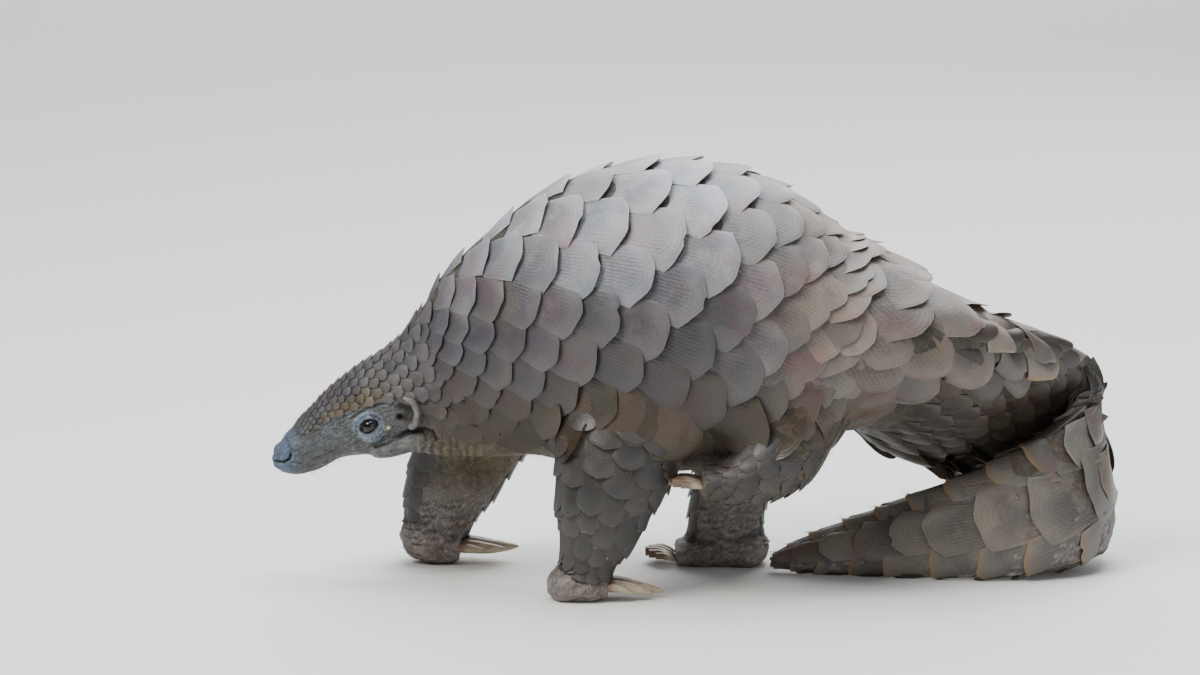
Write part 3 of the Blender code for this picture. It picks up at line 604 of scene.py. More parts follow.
def wrinkleHead(body, deep):
    # Fine grain along the snout, folds across the throat
    grain, throat = faceForm["grain"], faceForm["throat"]
    tilt = math.radians(grain["tilt"])
    for i in np.nonzero(body[:, 0] < faceForm["wrinkledTo"])[0]:
        x, y, z = body[i]
        along = x * math.cos(tilt) + z * math.sin(tilt)
        height = z * math.cos(tilt) - x * math.sin(tilt)
        spot = Vector((along * grain["along"], y * grain["across"], height * grain["across"]))
        rough = noise.fractal(spot, 0.9, 2.0, 3)
        share = float(ease(x, *throat["behind"])) * float(falling(z, *throat["under"]))
        share = share * float(ease(z, *throat["over"])) * float(falling(x, *throat["ahead"]))
        wander = noise.noise(Vector((x * throat["wander"], y * throat["wander"], z * throat["wander"])))
        waves = math.sin(x * throat["waves"] + 3 * wander)
        grained = grain["depth"] * rough * float(falling(x, *grain["ahead"]))
        deep[i] -= grained + share * throat["depth"] * waves


def wrinkleFeet(body, deep):
    feet = faceForm["feet"]
    for i in np.nonzero(body[:, 2] < feet["top"])[0]:
        x, y, z = body[i]
        spot = Vector((x * feet["along"], y * feet["along"], z * feet["across"]))
        deep[i] -= feet["depth"] * noise.fractal(spot, 0.9, 2.0, 3)


def sculptHead(points, normals):
    body = points - shift
    deep = np.zeros(len(points))
    for name, (_, depth, _) in faceForm["lines"].items():
        deep += depth * lineShare(body, name)
    deep += faceForm["wart"][1] * wartShare(body)
    wrinkleHead(body, deep)
    wrinkleFeet(body, deep)
    points = points - normals * deep[:, None]
    length, height = faceForm["opening"]
    for side in ("left", "right"):
        centre, outward, ahead, above = eyeFrame(side)
        away = points - centre
        out = away @ outward
        flat = np.hypot(away @ ahead / length, away @ above / height)
        inside = (out > -0.005) & (flat < 2.4)
        push = (-faceForm["socketDepth"] - out) * ease(-flat, -2.0, -1.35)
        points = points + outward * (np.where(inside, np.minimum(push, 0.0), 0.0))[:, None]
    return points


def lidRing(side, tree):
    # Thick wrinkled lids: rings from the eyeball out to the skin of the cheek
    centre, outward, ahead, above = eyeFrame(side)
    length, height = faceForm["opening"]
    radius = headForm["eyeRadius"]
    turn = np.linspace(0, 2 * math.pi, faceForm["lidPoints"], endpoint=False)
    longer = 1 + faceForm["corners"] * np.abs(np.cos(turn)) ** 10
    rim = 1 / np.hypot(np.cos(turn) / length, np.sin(turn) / height) * longer
    direction = np.cos(turn)[:, None] * ahead + np.sin(turn)[:, None] * above
    edge = np.sqrt(np.maximum((radius + 0.00025) ** 2 - rim**2, 0.0018**2))
    thick, reach = faceForm["lidThick"], faceForm["lidReach"]
    rings = [(rim - 0.0001, edge - 0.0009), (rim, edge), (rim + 0.1 * thick, edge + 0.55 * thick)]
    rings.append((rim + 0.45 * thick, edge + 0.9 * thick))
    chance = random.Random(5)
    phase = [chance.uniform(0, 6.28) for _ in range(3)]
    for share in np.linspace(0.0, 1.0, faceForm["lidRings"]):
        away = rim + 0.9 * thick + share * (reach - rim - 0.9 * thick)
        skinHeight = np.empty(len(turn))
        for i in range(len(turn)):
            start = centre + direction[i] * away[i] + outward * 0.03
            hit = tree.ray_cast(Vector(start), Vector(-outward))
            skinHeight[i] = 0.03 - hit[3] if hit[3] is not None else 0.0
        dome = edge + thick - (away**2 - rim**2) / faceForm["lidDome"]
        blend = ease(share, 0.25, 0.95)
        bends = 0.8 * np.sin(2 * turn + phase[0])
        wave = np.sin(2 * math.pi * (away - rim) / faceForm["foldStep"] + bends)
        fine = 0.35 * np.sin(9 * turn + phase[1] + 6 * share)
        fine = fine + 0.25 * np.sin(17 * turn + phase[2] - 9 * share)
        lift = faceForm["foldHeight"] * (wave + fine) * (1 - share) ** 0.4 * float(ease(share, 0.0, 0.12))
        sunk = 0.0006 * float(ease(share, 0.8, 1.0))
        rings.append((away, dome * (1 - blend) + skinHeight * blend + lift - sunk))
    vertices = np.vstack([
        centre + direction * flat[:, None] + outward * out[:, None] for flat, out in rings])
    faces = bandFaces(len(rings), len(turn))
    return vertices, faces if side == "right" else [face[::-1] for face in faces]


def makeDrape():
    # A softened copy of the skin that the scales lie on
    edges = edgesOf(skin.data)
    points = relaxed(
        pointsOf(skin.data), edges, 2 * skinForm["drapeSmoothing"], skinForm["pull"], skinForm["swell"])
    normals = relaxed(normalsOf(skin.data), edges, skinForm["drapeSmoothing"])
    normals /= np.linalg.norm(normals, axis=1)[:, None] + 1e-9
    polygons = [tuple(p.vertices) for p in skin.data.polygons]
    tree = BVHTree.FromPolygons([Vector(p) for p in points], polygons)
    corners = np.array([p[0] for p in polygons])
    return tree, normals, corners


drapeTree, drapeNormals, drapeCorners = makeDrape()


def carvedHead():
    # The skin again, with its head carved and the lids on, once the scales have their softened copy
    polygons = [tuple(p.vertices) for p in skin.data.polygons]
    plain = pointsOf(skin.data)
    tree = BVHTree.FromPolygons([Vector(p) for p in plain], polygons)
    forms = [(sculptHead(plain, normalsOf(skin.data)), polygons)]
    forms += [lidRing(side, tree) for side in ("left", "right")]
    bpy.data.objects.remove(skin)
    return newPiece("skin", *joined(forms))


skin = carvedHead()
print("head carved,", len(skin.data.polygons), "faces")


def drape(points):
    # The nearest places on the softened skin and its normals there
    flat = points.reshape(-1, 3)
    places, normals = np.empty_like(flat), np.empty_like(flat)
    for i, point in enumerate(flat):
        found = drapeTree.find_nearest(Vector(point))
        places[i] = found[0]
        normals[i] = drapeNormals[drapeCorners[found[2]]]
    return places.reshape(points.shape), normals.reshape(points.shape)


# One scale as a plate with a rounded rim; its grid is the same for every scale
scaleForm = {
    "columns": 15,
    "rows": 13,
    "rimShare": 0.45,           # thickness left at the rim
    "rootWidth": 0.62,          # width at the root as a share of the widest place
    "shoulder": 0.52,           # where along the length it is widest
    "sink": 0.0004,
    "deepest": 0.010,           # a scale whose root lies deeper than this in the body is left out
    "mostTurn": 1.10,           # radians away from the line of the back
    "above": 0.03,              # the footprint is let down from this height
    "steepest": 0.34,           # most rise or fall for each metre from the root
    "pinned": 0.4,              # this share of the length is held down on the skin
    "chipped": 0.25,            # share of the scales with a chipped edge
    "wider": (0.95, 1.05),      # how much sizes and directions vary
    "longer": (0.96, 1.05),
    "turned": 0.05,
    "tooNear": 0.3,             # scales of legs and trunk nearer than this, in widths, give way
    "neckEnd": -0.150,          # where the piece of head and neck ends
    "patch": 0.003,             # size of a scale on the bake map
}


def scaleTopology():
    columns, rows = scaleForm["columns"], scaleForm["rows"]
    index = np.arange(columns * rows).reshape(rows, columns)
    faces = []
    for i in range(rows - 1):
        for j in range(columns - 1):
            faces.append((index[i, j], index[i, j + 1], index[i + 1, j + 1], index[i + 1, j]))
    rim = [*index[0, :], *index[1:, -1], *index[-1, -2::-1], *index[-2:0:-1, 0]]
    under = {edge: columns * rows + n for n, edge in enumerate(rim)}
    for n, edge in enumerate(rim):
        following = rim[(n + 1) % len(rim)]
        faces.append((following, edge, under[edge], under[following]))
    for i in range(rows - 2):
        corners = (index[i, 0], index[i + 1, 0], index[i + 1, -1], index[i, -1])
        faces.append(tuple(under[corner] for corner in corners))
    # the first and last strips take in the whole root edge and the whole tip
    faces[-rows + 2] = (*[under[i] for i in index[0, ::-1]], under[index[1, 0]], under[index[1, -1]])
    faces.append((*[under[i] for i in index[-1, :]], under[index[-2, -1]], under[index[-2, 0]]))
    return [tuple(int(i) for i in face) for face in faces], [int(i) for i in rim]


plateFaces, plateRim = scaleTopology()
plateLoops = np.array([i for face in plateFaces for i in face])
spread = np.linspace(-1.0, 1.0, scaleForm["columns"])
plateU = np.sin(spread * 1.45) / math.sin(1.45)
plateV = 1 - (1 - np.linspace(0.0, 1.0, scaleForm["rows"])) ** 1.5
controlU, controlV = np.meshgrid(np.linspace(-1, 1, 5), np.linspace(0, 1, 5))


def plateOutline(u, v, kind, wobble=0.0):
    # Across and along, in shares of the width and the length
    rootWidth = scaleForm["rootWidth"]
    widen = rootWidth + (1 - rootWidth) * ease(v, -0.1, scaleForm["shoulder"])
    widen = widen * (1 - kind["narrow"] * ease(v, 0.55, 1.0))
    power = kind["blunt"]
    arc = 1 - (1 - np.clip(np.abs(u), 0, 0.9999) ** power) ** (1 / power)
    drop = kind["round"] * (arc * (1 - kind["point"]) + np.abs(u) ** 1.2 * kind["point"]) + wobble
    return 0.5 * u * widen, v - drop * v * v


def quadratic(u, v):
    return np.stack([np.ones_like(u), u, v, u * u, u * v, v * v], -1)


controlFit = np.linalg.pinv(quadratic(controlU.ravel(), controlV.ravel()))


def restingPlaces(sweep, s, q, below, across, along):
    # A footprint that points so far below the level, let down on the skin from outside
    stepS = sweep.place(s + 0.004, q) - sweep.place(s - 0.004, q)
    stepQ = sweep.place(s, q + 0.02) - sweep.place(s, q - 0.02)
    root, normal = drape(sweep.place(s, q))
    target = np.array([math.cos(below), 0.0, -math.sin(below)])
    reach = float(along.max())
    for _ in range(2):
        ahead = stepS - normal * float(stepS @ normal)
        ahead /= np.linalg.norm(ahead)
        side = np.cross(normal, ahead)
        side *= np.sign(float(side @ stepQ))
        turn = math.atan2(float(target @ side), float(target @ ahead))
        turn = max(-scaleForm["mostTurn"], min(scaleForm["mostTurn"], turn))
        heading = ahead * math.cos(turn) + side * math.sin(turn)
        side = side * math.cos(turn) - ahead * math.sin(turn)
        normal = normal + drape(root + heading * reach * 0.5)[1]
        normal /= np.linalg.norm(normal)
    level = root + along[..., None] * heading + across[..., None] * side
    places, normals = np.empty_like(level), np.empty_like(level)
    down = Vector(-normal)
    for index in np.ndindex(across.shape):
        start = level[index] + normal * scaleForm["above"]
        found = drapeTree.ray_cast(Vector(start), down, 0.08)
        far = 0.001 + scaleForm["steepest"] * math.hypot(across[index], along[index])
        height = -far if found[0] is None else float((np.array(found[0]) - level[index]) @ normal)
        places[index] = level[index] + normal * max(-far, min(far, height))
        normals[index] = normal if found[0] is None else drapeNormals[drapeCorners[found[2]]]
    return places, normals


def makeScale(sweep, s, q, width, length, twist, kind, seed, below=None):
    # Lay the plate's footprint on the skin and read a stiff curved plate from it
    across, along = plateOutline(controlU, controlV, kind)
    a, b = across * width, along * length
    root = sweep.place(s, q)
    if below is None:
        alongPace, aroundPace = sweep.pace(s, q)
        cos, sin = math.cos(twist), math.sin(twist)
        rawPlaces = sweep.place(s + (b * cos - a * sin) / alongPace, q + (a * cos + b * sin) / aroundPace)
        places, normals = drape(rawPlaces)
    else:
        places, normals = restingPlaces(sweep, s, q, below, a, b)
    buried = float(np.linalg.norm(places[0, 2] - root))
    if buried > kind["deepest"]:
        return None
    normal = normals.reshape(-1, 3).mean(axis=0)
    normal /= np.linalg.norm(normal)
    fitPlace = controlFit @ places.reshape(-1, 3)
    u, v = np.meshgrid(plateU, plateV)
    rough = random.Random(seed)
    phase = [rough.uniform(0, 6.28) for _ in range(3)]
    wobble = 0.012 * np.sin(3.1 * u + phase[0]) + 0.010 * np.sin(7.3 * u + phase[1])
    if rough.random() < scaleForm["chipped"]:
        at, wide = rough.uniform(-0.6, 0.6), rough.uniform(0.06, 0.16)
        wobble = wobble + rough.uniform(0.02, 0.06) * np.exp(-((u - at) / wide) ** 2)
    _, trueAlong = plateOutline(u, v, kind, wobble)
    _, flatAlong = plateOutline(u, v, kind)
    base = quadratic(u, v) @ fitPlace
    if below is not None:
        held = plateV < scaleForm["pinned"]
        near, up = drape(base[held])
        above = np.maximum(((base[held] - near) * up).sum(axis=-1), 0.0)
        base[held] -= up * (above * (1 - v[held] / scaleForm["pinned"]))[..., None]
    # the wobble moves the edge along the plate's own direction
    forward = quadratic(u, v + 0.02) @ fitPlace - quadratic(u, v - 0.02) @ fitPlace
    forward /= np.linalg.norm(forward, axis=-1)[..., None] + 1e-9
    base = base + forward * ((trueAlong - flatAlong) * length)[..., None]
    lift = kind["slope"] * trueAlong * length - min(scaleForm["sink"], 0.02 * length)
    lift = lift + kind["dome"] * width * (1 - u * u) * ease(v, -0.2, 0.5)
    lift = lift + rough.uniform(-0.12, 0.12) * 0.001
    thick = kind["thick"]
    edge = np.maximum(np.abs(u) ** 6, ease(v, 0.90, 1.0) * 0.9)
    thinned = thick * (1 - (1 - scaleForm["rimShare"]) * ease(v, 0.0, 1.0))
    top = (base + normal * (lift - edge * thick * 0.30)[..., None]).reshape(-1, 3)
    lower = (base + normal * (lift - thinned - 0.0001)[..., None]).reshape(-1, 3)
    # nothing reaches the floor
    top[:, 2] = np.maximum(top[:, 2], 0.0002)
    lower[:, 2] = np.maximum(lower[:, 2], 0.0007)
    flatUv = np.stack([(u + 1) / 2, v], -1).reshape(-1, 2)
    tip = len(top) - len(plateU) + len(plateU) // 2
    return {
        "vertices": np.vstack([top, lower[plateRim]]), "uv": np.vstack([flatUv, flatUv[plateRim]]),
        "under": np.concatenate([np.zeros(len(flatUv)), np.ones(len(plateRim))]), "middle": places[3, 2],
        "size": min(width, length), "normal": normal, "tip": top[tip],
        "heading": forward[-1, len(plateU) // 2],
    }


# Scale rows of head, neck and trunk by row number of the sweep. Share is how far down the side they
# reach, step the distance between two scales of one row, wide a share of the distance between two rows
# of one ring, high and low the degrees below the level that the tips point to near the back and near
# the belly, slant how far a ring runs back for each metre down the side
trunkScales = {
    "rowsEachSide": [(15.2, 11), (16.4, 9), (32.0, 7)],
    "dome": 0.045,
    "columns": (
        "row", "share", "step", "wide", "long", "slope", "thick", "round", "blunt", "point", "narrow",
        "high", "low", "slant"),
    "zones": [
        (7.9, 0.60, 0.021, 1.10, 0.027, 0.085, 0.0008, 0.50, 2.0, 0.1, 0.06, 8.0, 28.0, 0.00),
        (8.8, 0.72, 0.025, 1.12, 0.033, 0.085, 0.0010, 0.52, 2.0, 0.1, 0.06, 14.0, 34.0, 0.00),
        (9.6, 0.75, 0.030, 1.14, 0.040, 0.085, 0.0011, 0.54, 2.0, 0.1, 0.07, 16.0, 34.0, 0.00),
        (10.7, 0.74, 0.037, 1.20, 0.051, 0.082, 0.0012, 0.56, 2.0, 0.1, 0.07, 14.0, 24.0, 0.05),
        (11.8, 0.69, 0.044, 1.24, 0.060, 0.080, 0.0013, 0.58, 2.0, 0.1, 0.08, 10.0, 18.0, 0.16),
        (13.0, 0.66, 0.049, 1.28, 0.067, 0.078, 0.0013, 0.60, 2.0, 0.1, 0.09, 14.0, 24.0, 0.22),
        (14.2, 0.64, 0.044, 1.26, 0.061, 0.078, 0.0013, 0.62, 2.0, 0.1, 0.10, 20.0, 34.0, 0.16),
        (15.4, 0.63, 0.042, 1.26, 0.058, 0.080, 0.0013, 0.64, 2.0, 0.1, 0.12, 32.0, 50.0, 0.08),
        (16.4, 0.60, 0.044, 1.32, 0.066, 0.080, 0.0014, 0.66, 1.95, 0.2, 0.14, 36.0, 60.0, 0.00),
        (17.2, 0.58, 0.046, 1.36, 0.074, 0.082, 0.0015, 0.68, 1.95, 0.2, 0.16, 38.0, 66.0, 0.00),
        (18.2, 0.56, 0.046, 1.36, 0.078, 0.082, 0.0015, 0.68, 1.95, 0.2, 0.16, 40.0, 66.0, 0.00),
    ],
}
headScales = {
    "rowsEachSide": [(32.0, 10)],
    "dome": 0.10,
    "columns": trunkScales["columns"],
    "zones": [
        (2.9, 0.24, 0.0090, 1.15, 0.0115, 0.15, 0.0005, 0.44, 2.0, 0.0, 0.05, -25.0, -20.0, 0.0),
        (4.0, 0.30, 0.0100, 1.15, 0.0130, 0.15, 0.0006, 0.44, 2.0, 0.0, 0.05, -25.0, -15.0, 0.0),
        (5.0, 0.34, 0.0115, 1.15, 0.0145, 0.15, 0.0006, 0.44, 2.0, 0.0, 0.05, -25.0, -8.0, 0.0),
        (6.0, 0.36, 0.0135, 1.12, 0.0170, 0.15, 0.0007, 0.44, 2.0, 0.0, 0.05, -20.0, 0.0, 0.0),
        (7.0, 0.42, 0.0175, 1.12, 0.0215, 0.09, 0.0008, 0.44, 2.0, 0.0, 0.05, -10.0, 12.0, 0.0),
        (7.9, 0.56, 0.0230, 1.10, 0.0280, 0.08, 0.0009, 0.44, 2.0, 0.0, 0.05, 0.0, 22.0, 0.0),
    ],
}
# How much the rows of the trunk stray, and how deep their roots may lie at two rows of the sweep
rowForm = {"jitter": 0.03, "turn": 4.0, "rounding": 0.05, "rows": (15.5, 16.5), "deepest": (0.010, 0.017)}
tailScales = {
    "columns": ("row", "step", "wide", "long", "slope", "thick", "round", "blunt", "point", "narrow"),
    "span": (18.8, 30.8),
    # rows each side between the middle of the tail's back and its edge, up to a row number of the sweep
    "rowsEachSide": [(20.4, 3), (22.6, 2), (32.0, 1)],
    "dome": 0.030,
    "rootBelow": 34.0,       # degrees below the level at the root, up to the next row number
    "freeFrom": 19.3,
    "margin": {"round": 0.60, "point": 0.55, "narrow": 0.10, "dome": 0.02},
    "marginAt": 0.34,
    "wideMarginAt": 0.42,    # where there is more than one row each side
    "marginTurn": 17.0,
    "marginWidth": 0.062,
    "middleWidth": 0.50,
    "zones": [
        (18.0, 0.038, 1.30, 0.070, 0.066, 0.0014, 0.56, 1.9, 0.3, 0.08),
        (21.0, 0.034, 1.26, 0.080, 0.060, 0.0013, 0.48, 1.9, 0.2, 0.06),
        (24.0, 0.034, 1.26, 0.078, 0.058, 0.0013, 0.44, 1.9, 0.2, 0.04),
        (28.0, 0.030, 1.22, 0.060, 0.058, 0.0011, 0.44, 1.9, 0.2, 0.04),
        (30.6, 0.016, 1.20, 0.032, 0.060, 0.0008, 0.44, 1.9, 0.2, 0.06),
    ],
}
# The smaller scales on the flanks and the underside of the tail
underScales = {
    "columns": tailScales["columns"],
    "span": (18.0, 30.8),
    "rowsEachSide": [(20.5, 7), (22.5, 5), (26.0, 3), (29.0, 2), (32.0, 1)],
    "share": 0.50,
    "edgeRoom": 0.4,
    "dome": 0.06,
    "zones": [
        (17.4, 0.026, 1.20, 0.037, 0.110, 0.0012, 0.56, 1.9, 0.3, 0.10),
        (21.0, 0.028, 1.20, 0.040, 0.100, 0.0012, 0.54, 1.9, 0.3, 0.10),
        (24.0, 0.030, 1.20, 0.048, 0.070, 0.0012, 0.50, 1.9, 0.2, 0.06),
        (28.0, 0.028, 1.20, 0.046, 0.060, 0.0010, 0.46, 1.9, 0.2, 0.06),
        (30.6, 0.016, 1.20, 0.030, 0.060, 0.0008, 0.46, 1.9, 0.2, 0.06),
    ],
}
legScales = {
    "columns": (
        "row", "share", "step", "wide", "long", "slope", "thick", "round", "blunt", "point", "narrow"),
    "rowsEachSide": 4,
    "dome": 0.04,
    "deepest": 0.006,
    # where on the girth the rows are centred
    "middle": {"forelegLeft": 0.40, "forelegRight": -0.40, "hindlegLeft": 0.46, "hindlegRight": -0.46},
    "forelegLeft": [
        (0.4, 0.64, 0.0235, 1.20, 0.037, 0.085, 0.0010, 0.46, 2.0, 0.5, 0.16),
        (3.0, 0.64, 0.0200, 1.20, 0.032, 0.085, 0.0009, 0.46, 2.0, 0.5, 0.16),
        (5.7, 0.64, 0.0130, 1.20, 0.021, 0.085, 0.0007, 0.46, 2.0, 0.5, 0.16),
    ],
    "forelegRight": [
        (0.4, 0.62, 0.0210, 1.20, 0.033, 0.085, 0.0010, 0.46, 2.0, 0.5, 0.16),
        (4.7, 0.62, 0.0130, 1.20, 0.021, 0.085, 0.0007, 0.46, 2.0, 0.5, 0.16),
    ],
    "hindlegLeft": [
        (0.2, 0.58, 0.0220, 1.20, 0.035, 0.085, 0.0010, 0.46, 2.0, 0.5, 0.16),
        (2.5, 0.56, 0.0175, 1.20, 0.028, 0.085, 0.0009, 0.46, 2.0, 0.5, 0.16),
        (4.7, 0.44, 0.0110, 1.20, 0.018, 0.085, 0.0007, 0.46, 2.0, 0.5, 0.16),
    ],
    "hindlegRight": [
        (0.2, 0.58, 0.0220, 1.20, 0.035, 0.085, 0.0010, 0.46, 2.0, 0.5, 0.16),
        (3.8, 0.58, 0.0140, 1.20, 0.022, 0.085, 0.0008, 0.46, 2.0, 0.5, 0.16),
    ],
}


def zoneAt(sweep, columns, zones, s):
    # Every value of a zone table at one place along a sweep
    row = float(sweep.number(s))
    numbers = [zone[0] for zone in zones]
    values = {name: [zone[i] for zone in zones] for i, name in enumerate(columns)}
    return {name: float(np.interp(row, numbers, column)) for name, column in values.items()}


def kindOf(zone, dome, deepest=scaleForm["deepest"]):
    kind = {name: zone[name] for name in ("slope", "thick", "round", "blunt", "point", "narrow")}
    kind["dome"], kind["deepest"] = dome, deepest
    return kind


def rowsAt(table, s):
    return next(count for limit, count in table["rowsEachSide"] if spine.number(s) < limit)


def girthAt(sweep, s):
    return float(sweep.read(sweep.girth, np.array(s)))


allScales = []


def meetsOther(group, plate):
    # Where legs and trunk meet, the scale that came first stays; trunk and tail run on into each other
    for other in allScales:
        oneCoat = {group, other["group"]} <= {"trunk", "tailTop", "tailUnder"}
        if oneCoat or other["group"] == group:
            continue
        if np.linalg.norm(other["middle"] - plate["middle"]) < scaleForm["tooNear"] * other["size"]:
            return True
    return False


def bakePlace(sweep, s, q):
    # The skin unrolled, one band of the bake map for each sweep
    band = list(sweeps).index(next(name for name in sweeps if sweeps[name] is sweep))
    height = 0.62 if band == 0 else 0.08
    start = 0.02 if band == 0 else 0.66 + 0.085 * ((band - 1) % 4)
    return 0.02 + 0.95 * s, start + height * ((q + 1) % 2) / 2


def addScale(group, sweep, s, q, width, length, twist, kind, tint=0.0, below=None):
    seed = dice.randrange(1 << 30)
    width *= dice.uniform(*scaleForm["wider"])
    length *= dice.uniform(*scaleForm["longer"])
    twist += dice.uniform(-scaleForm["turned"], scaleForm["turned"])
    plate = makeScale(sweep, s, q, width, length, twist, kind, seed, below)
    if plate is None or meetsOther(group, plate):
        return
    plate["patch"] = bakePlace(sweep, s, q)
    plate["group"] = group
    plate["tint"] = tint
    plate["random"] = random.Random(seed).random()
    plate["side"], plate["number"] = abs((q + 1) % 2 - 1), float(sweep.number(s))
    allScales.append(plate)


def coverTrunk(table, firstRow, lastRow):
    s, odd, end = spine.row(firstRow), False, spine.row(lastRow)
    lastHalf = rowsAt(table, s)
    while s < end:
        half = rowsAt(table, s)
        changed, lastHalf = half != lastHalf, half
        zone = zoneAt(spine, table["columns"], table["zones"], s)
        girth = girthAt(spine, s)
        pitch = girth * zone["share"] / half
        for j in range(-half, half + 1):
            if (j - half) % 2 == int(odd) and not changed:
                continue
            q = zone["share"] * j / half
            down = math.hypot(q, rowForm["rounding"]) - rowForm["rounding"]
            jitter = dice.uniform(-rowForm["jitter"], rowForm["jitter"]) * zone["step"]
            place = s + (zone["slant"] * down * girth + jitter) / spine.length
            below = zone["high"] + (zone["low"] - zone["high"]) * abs(j) / half
            below = math.radians(below + dice.uniform(-rowForm["turn"], rowForm["turn"]))
            deepest = float(np.interp(spine.number(s), rowForm["rows"], rowForm["deepest"]))
            kind = kindOf(zone, table["dome"], deepest)
            width = zone["wide"] * 2 * pitch
            addScale("trunk", spine, place, q, width, zone["long"], 0.0, kind, 0.0, below)
        odd = not odd
        s += 0.5 * zone["step"] / spine.length


def coverTail():
    firstRow, lastRow = tailScales["span"]
    s, odd, end = spine.row(firstRow), False, spine.row(lastRow)
    while s < end:
        zone = zoneAt(spine, tailScales["columns"], tailScales["zones"], s)
        girth, half = girthAt(spine, s), rowsAt(tailScales, s)
        for j in range(-half, half + 1):
            if (j - half) % 2 == int(odd):
                continue
            margin = abs(j) == half
            kind = kindOf(zone, tailScales["dome"])
            q, twist = 0.5 * j / half, 0.0
            width = zone["wide"] * math.hypot(girth * 0.5 / half, zone["step"] / 2)
            if margin:
                kind.update(tailScales["margin"])
                q = math.copysign(tailScales["marginAt" if half == 1 else "wideMarginAt"], j)
                twist = math.copysign(math.radians(tailScales["marginTurn"]), j)
                width = min(width * 1.1, tailScales["marginWidth"])
            elif half == 1:
                width = girth * tailScales["middleWidth"]
            free = float(spine.number(s)) >= tailScales["freeFrom"]
            below = None if free else math.radians(tailScales["rootBelow"])
            tint = 1.0 if margin else 0.0
            addScale("tailTop", spine, s, q, width, zone["long"], twist, kind, tint, below)
        odd = not odd
        s += 0.5 * zone["step"] / spine.length


def coverTailUnder():
    firstRow, lastRow = underScales["span"]
    s, odd, end = spine.row(firstRow), False, spine.row(lastRow)
    while s < end:
        zone = zoneAt(spine, underScales["columns"], underScales["zones"], s)
        half = rowsAt(underScales, s)
        pitch = underScales["share"] / (half + underScales["edgeRoom"])
        for j in range(-half, half + 1):
            if (j - half) % 2 != int(odd):
                continue
            width = zone["wide"] * math.hypot(girthAt(spine, s) * pitch, zone["step"] / 2)
            kind = kindOf(zone, underScales["dome"])
            addScale("tailUnder", spine, s, 1.0 + pitch * j, width, zone["long"], 0.0, kind)
        odd = not odd
        s += 0.5 * zone["step"] / spine.length


def coverLeg(name):
    sweep, zones, half = sweeps[name], legScales[name], legScales["rowsEachSide"]
    s, odd, end = sweep.row(zones[0][0]), False, sweep.row(zones[-1][0])
    while s < end:
        zone = zoneAt(sweep, legScales["columns"], zones, s)
        pitch = girthAt(sweep, s) * zone["share"] / half
        width = zone["wide"] * math.hypot(pitch, zone["step"] / 2)
        for j in range(-half, half + 1):
            if (j - half) % 2 == int(odd):
                continue
            q = legScales["middle"][name] + zone["share"] * j / half
            kind = kindOf(zone, legScales["dome"], legScales["deepest"])
            addScale(name, sweep, s, q, width, zone["long"], 0.0, kind)
        odd = not odd
        s += 0.5 * zone["step"] / sweep.length


coverTrunk(trunkScales, 7.9, 18.9)
coverTrunk(headScales, 2.9, 7.95)
coverTail()
coverTailUnder()
for legName in bodyForm["legs"]:
    coverLeg(legName)
print("scales:", len(allScales))


# Colours of the scales, in linear light; the back and the flank also carry painted light and shade
scaleTones = {
    # painted sky light: the back is pale and bluish because it faces the sky
    "back": (0.285, 0.296, 0.312),
    "shoulder": (0.067, 0.064, 0.073),
    # painted shade over the scales' own browner tone: the flank is dark because it faces down
    "flankWithPaintedShade": (0.033, 0.024, 0.011),
    "rump": (0.164, 0.138, 0.116),
    "head": (0.082, 0.082, 0.088),
    "brow": (0.095, 0.072, 0.028),
    "tailTop": (0.128, 0.118, 0.100),
    # painted shade: the scales under the tail are dark because they lie in shade
    "tailUnder": (0.040, 0.031, 0.022),
    "leg": (0.034, 0.030, 0.021),
}


def mixTone(first, second, share):
    return np.array(first) * (1 - share) + np.array(second) * share


def toneOf(plate):
    tones = scaleTones
    x, _, z = plate["middle"] - shift
    if plate["group"] == "tailTop":
        tone = np.array(tones["tailTop"])
    # the underside scales get their dark tone, which is painted shade
    elif plate["group"] == "tailUnder":
        tone = np.array(tones["tailUnder"])
    elif plate["group"] == "trunk":
        # the trunk's scales grow lighter with height: painted shade low on the flank, painted sky light on
        # the back
        tone = mixTone(tones["flankWithPaintedShade"], tones["shoulder"], float(ease(z, 0.13, 0.20)))
        tone = mixTone(tone, tones["back"], float(ease(z, 0.20, 0.31)))
        tone = mixTone(tone, tones["rump"], float(ease(x, 0.02, 0.12)) * float(ease(z, 0.12, 0.20)))
        tone = mixTone(tones["head"], tone, float(ease(x, -0.245, -0.170)))
        brow = float(ease(plate["side"], 0.21, 0.30)) * float(ease(-x, 0.225, 0.250))
        tone = mixTone(tone, tones["brow"], 0.62 * brow)
    else:
        tone = mixTone(tones["leg"], tones["shoulder"], 0.3)
    varied = random.Random(plate["random"])
    light = varied.uniform(0.78, 1.20)
    pink = varied.uniform(-0.05, 0.06)
    return tone * light * np.array([1 + pink, 1.0, 1 - 0.6 * pink])


def makeScalePiece(name, plates):
    size = scaleForm["columns"] * scaleForm["rows"] + len(plateRim)
    vertices = np.vstack([plate["vertices"] for plate in plates])
    faces = [tuple(i + n * size for i in face) for n in range(len(plates)) for face in plateFaces]
    piece = newPiece(name, vertices, faces)
    mesh = piece.data
    mesh.set_sharp_from_angle(angle=math.radians(50))
    perLoop = np.concatenate([plate["uv"][plateLoops] for plate in plates])
    patches = np.concatenate([
        np.array(plate["patch"]) + scaleForm["patch"] * plate["uv"][plateLoops] for plate in plates])
    putMap(mesh, "OFBake", patches)
    putMap(mesh, "plateMap", perLoop)
    putValues(mesh, "tone", np.vstack([np.tile([*toneOf(plate), 1.0], (size, 1)) for plate in plates]))
    for key in ("random", "tint"):
        putValues(mesh, key, np.repeat([plate[key] for plate in plates], size))
    putValues(mesh, "under", np.concatenate([plate["under"] for plate in plates]))
    return piece


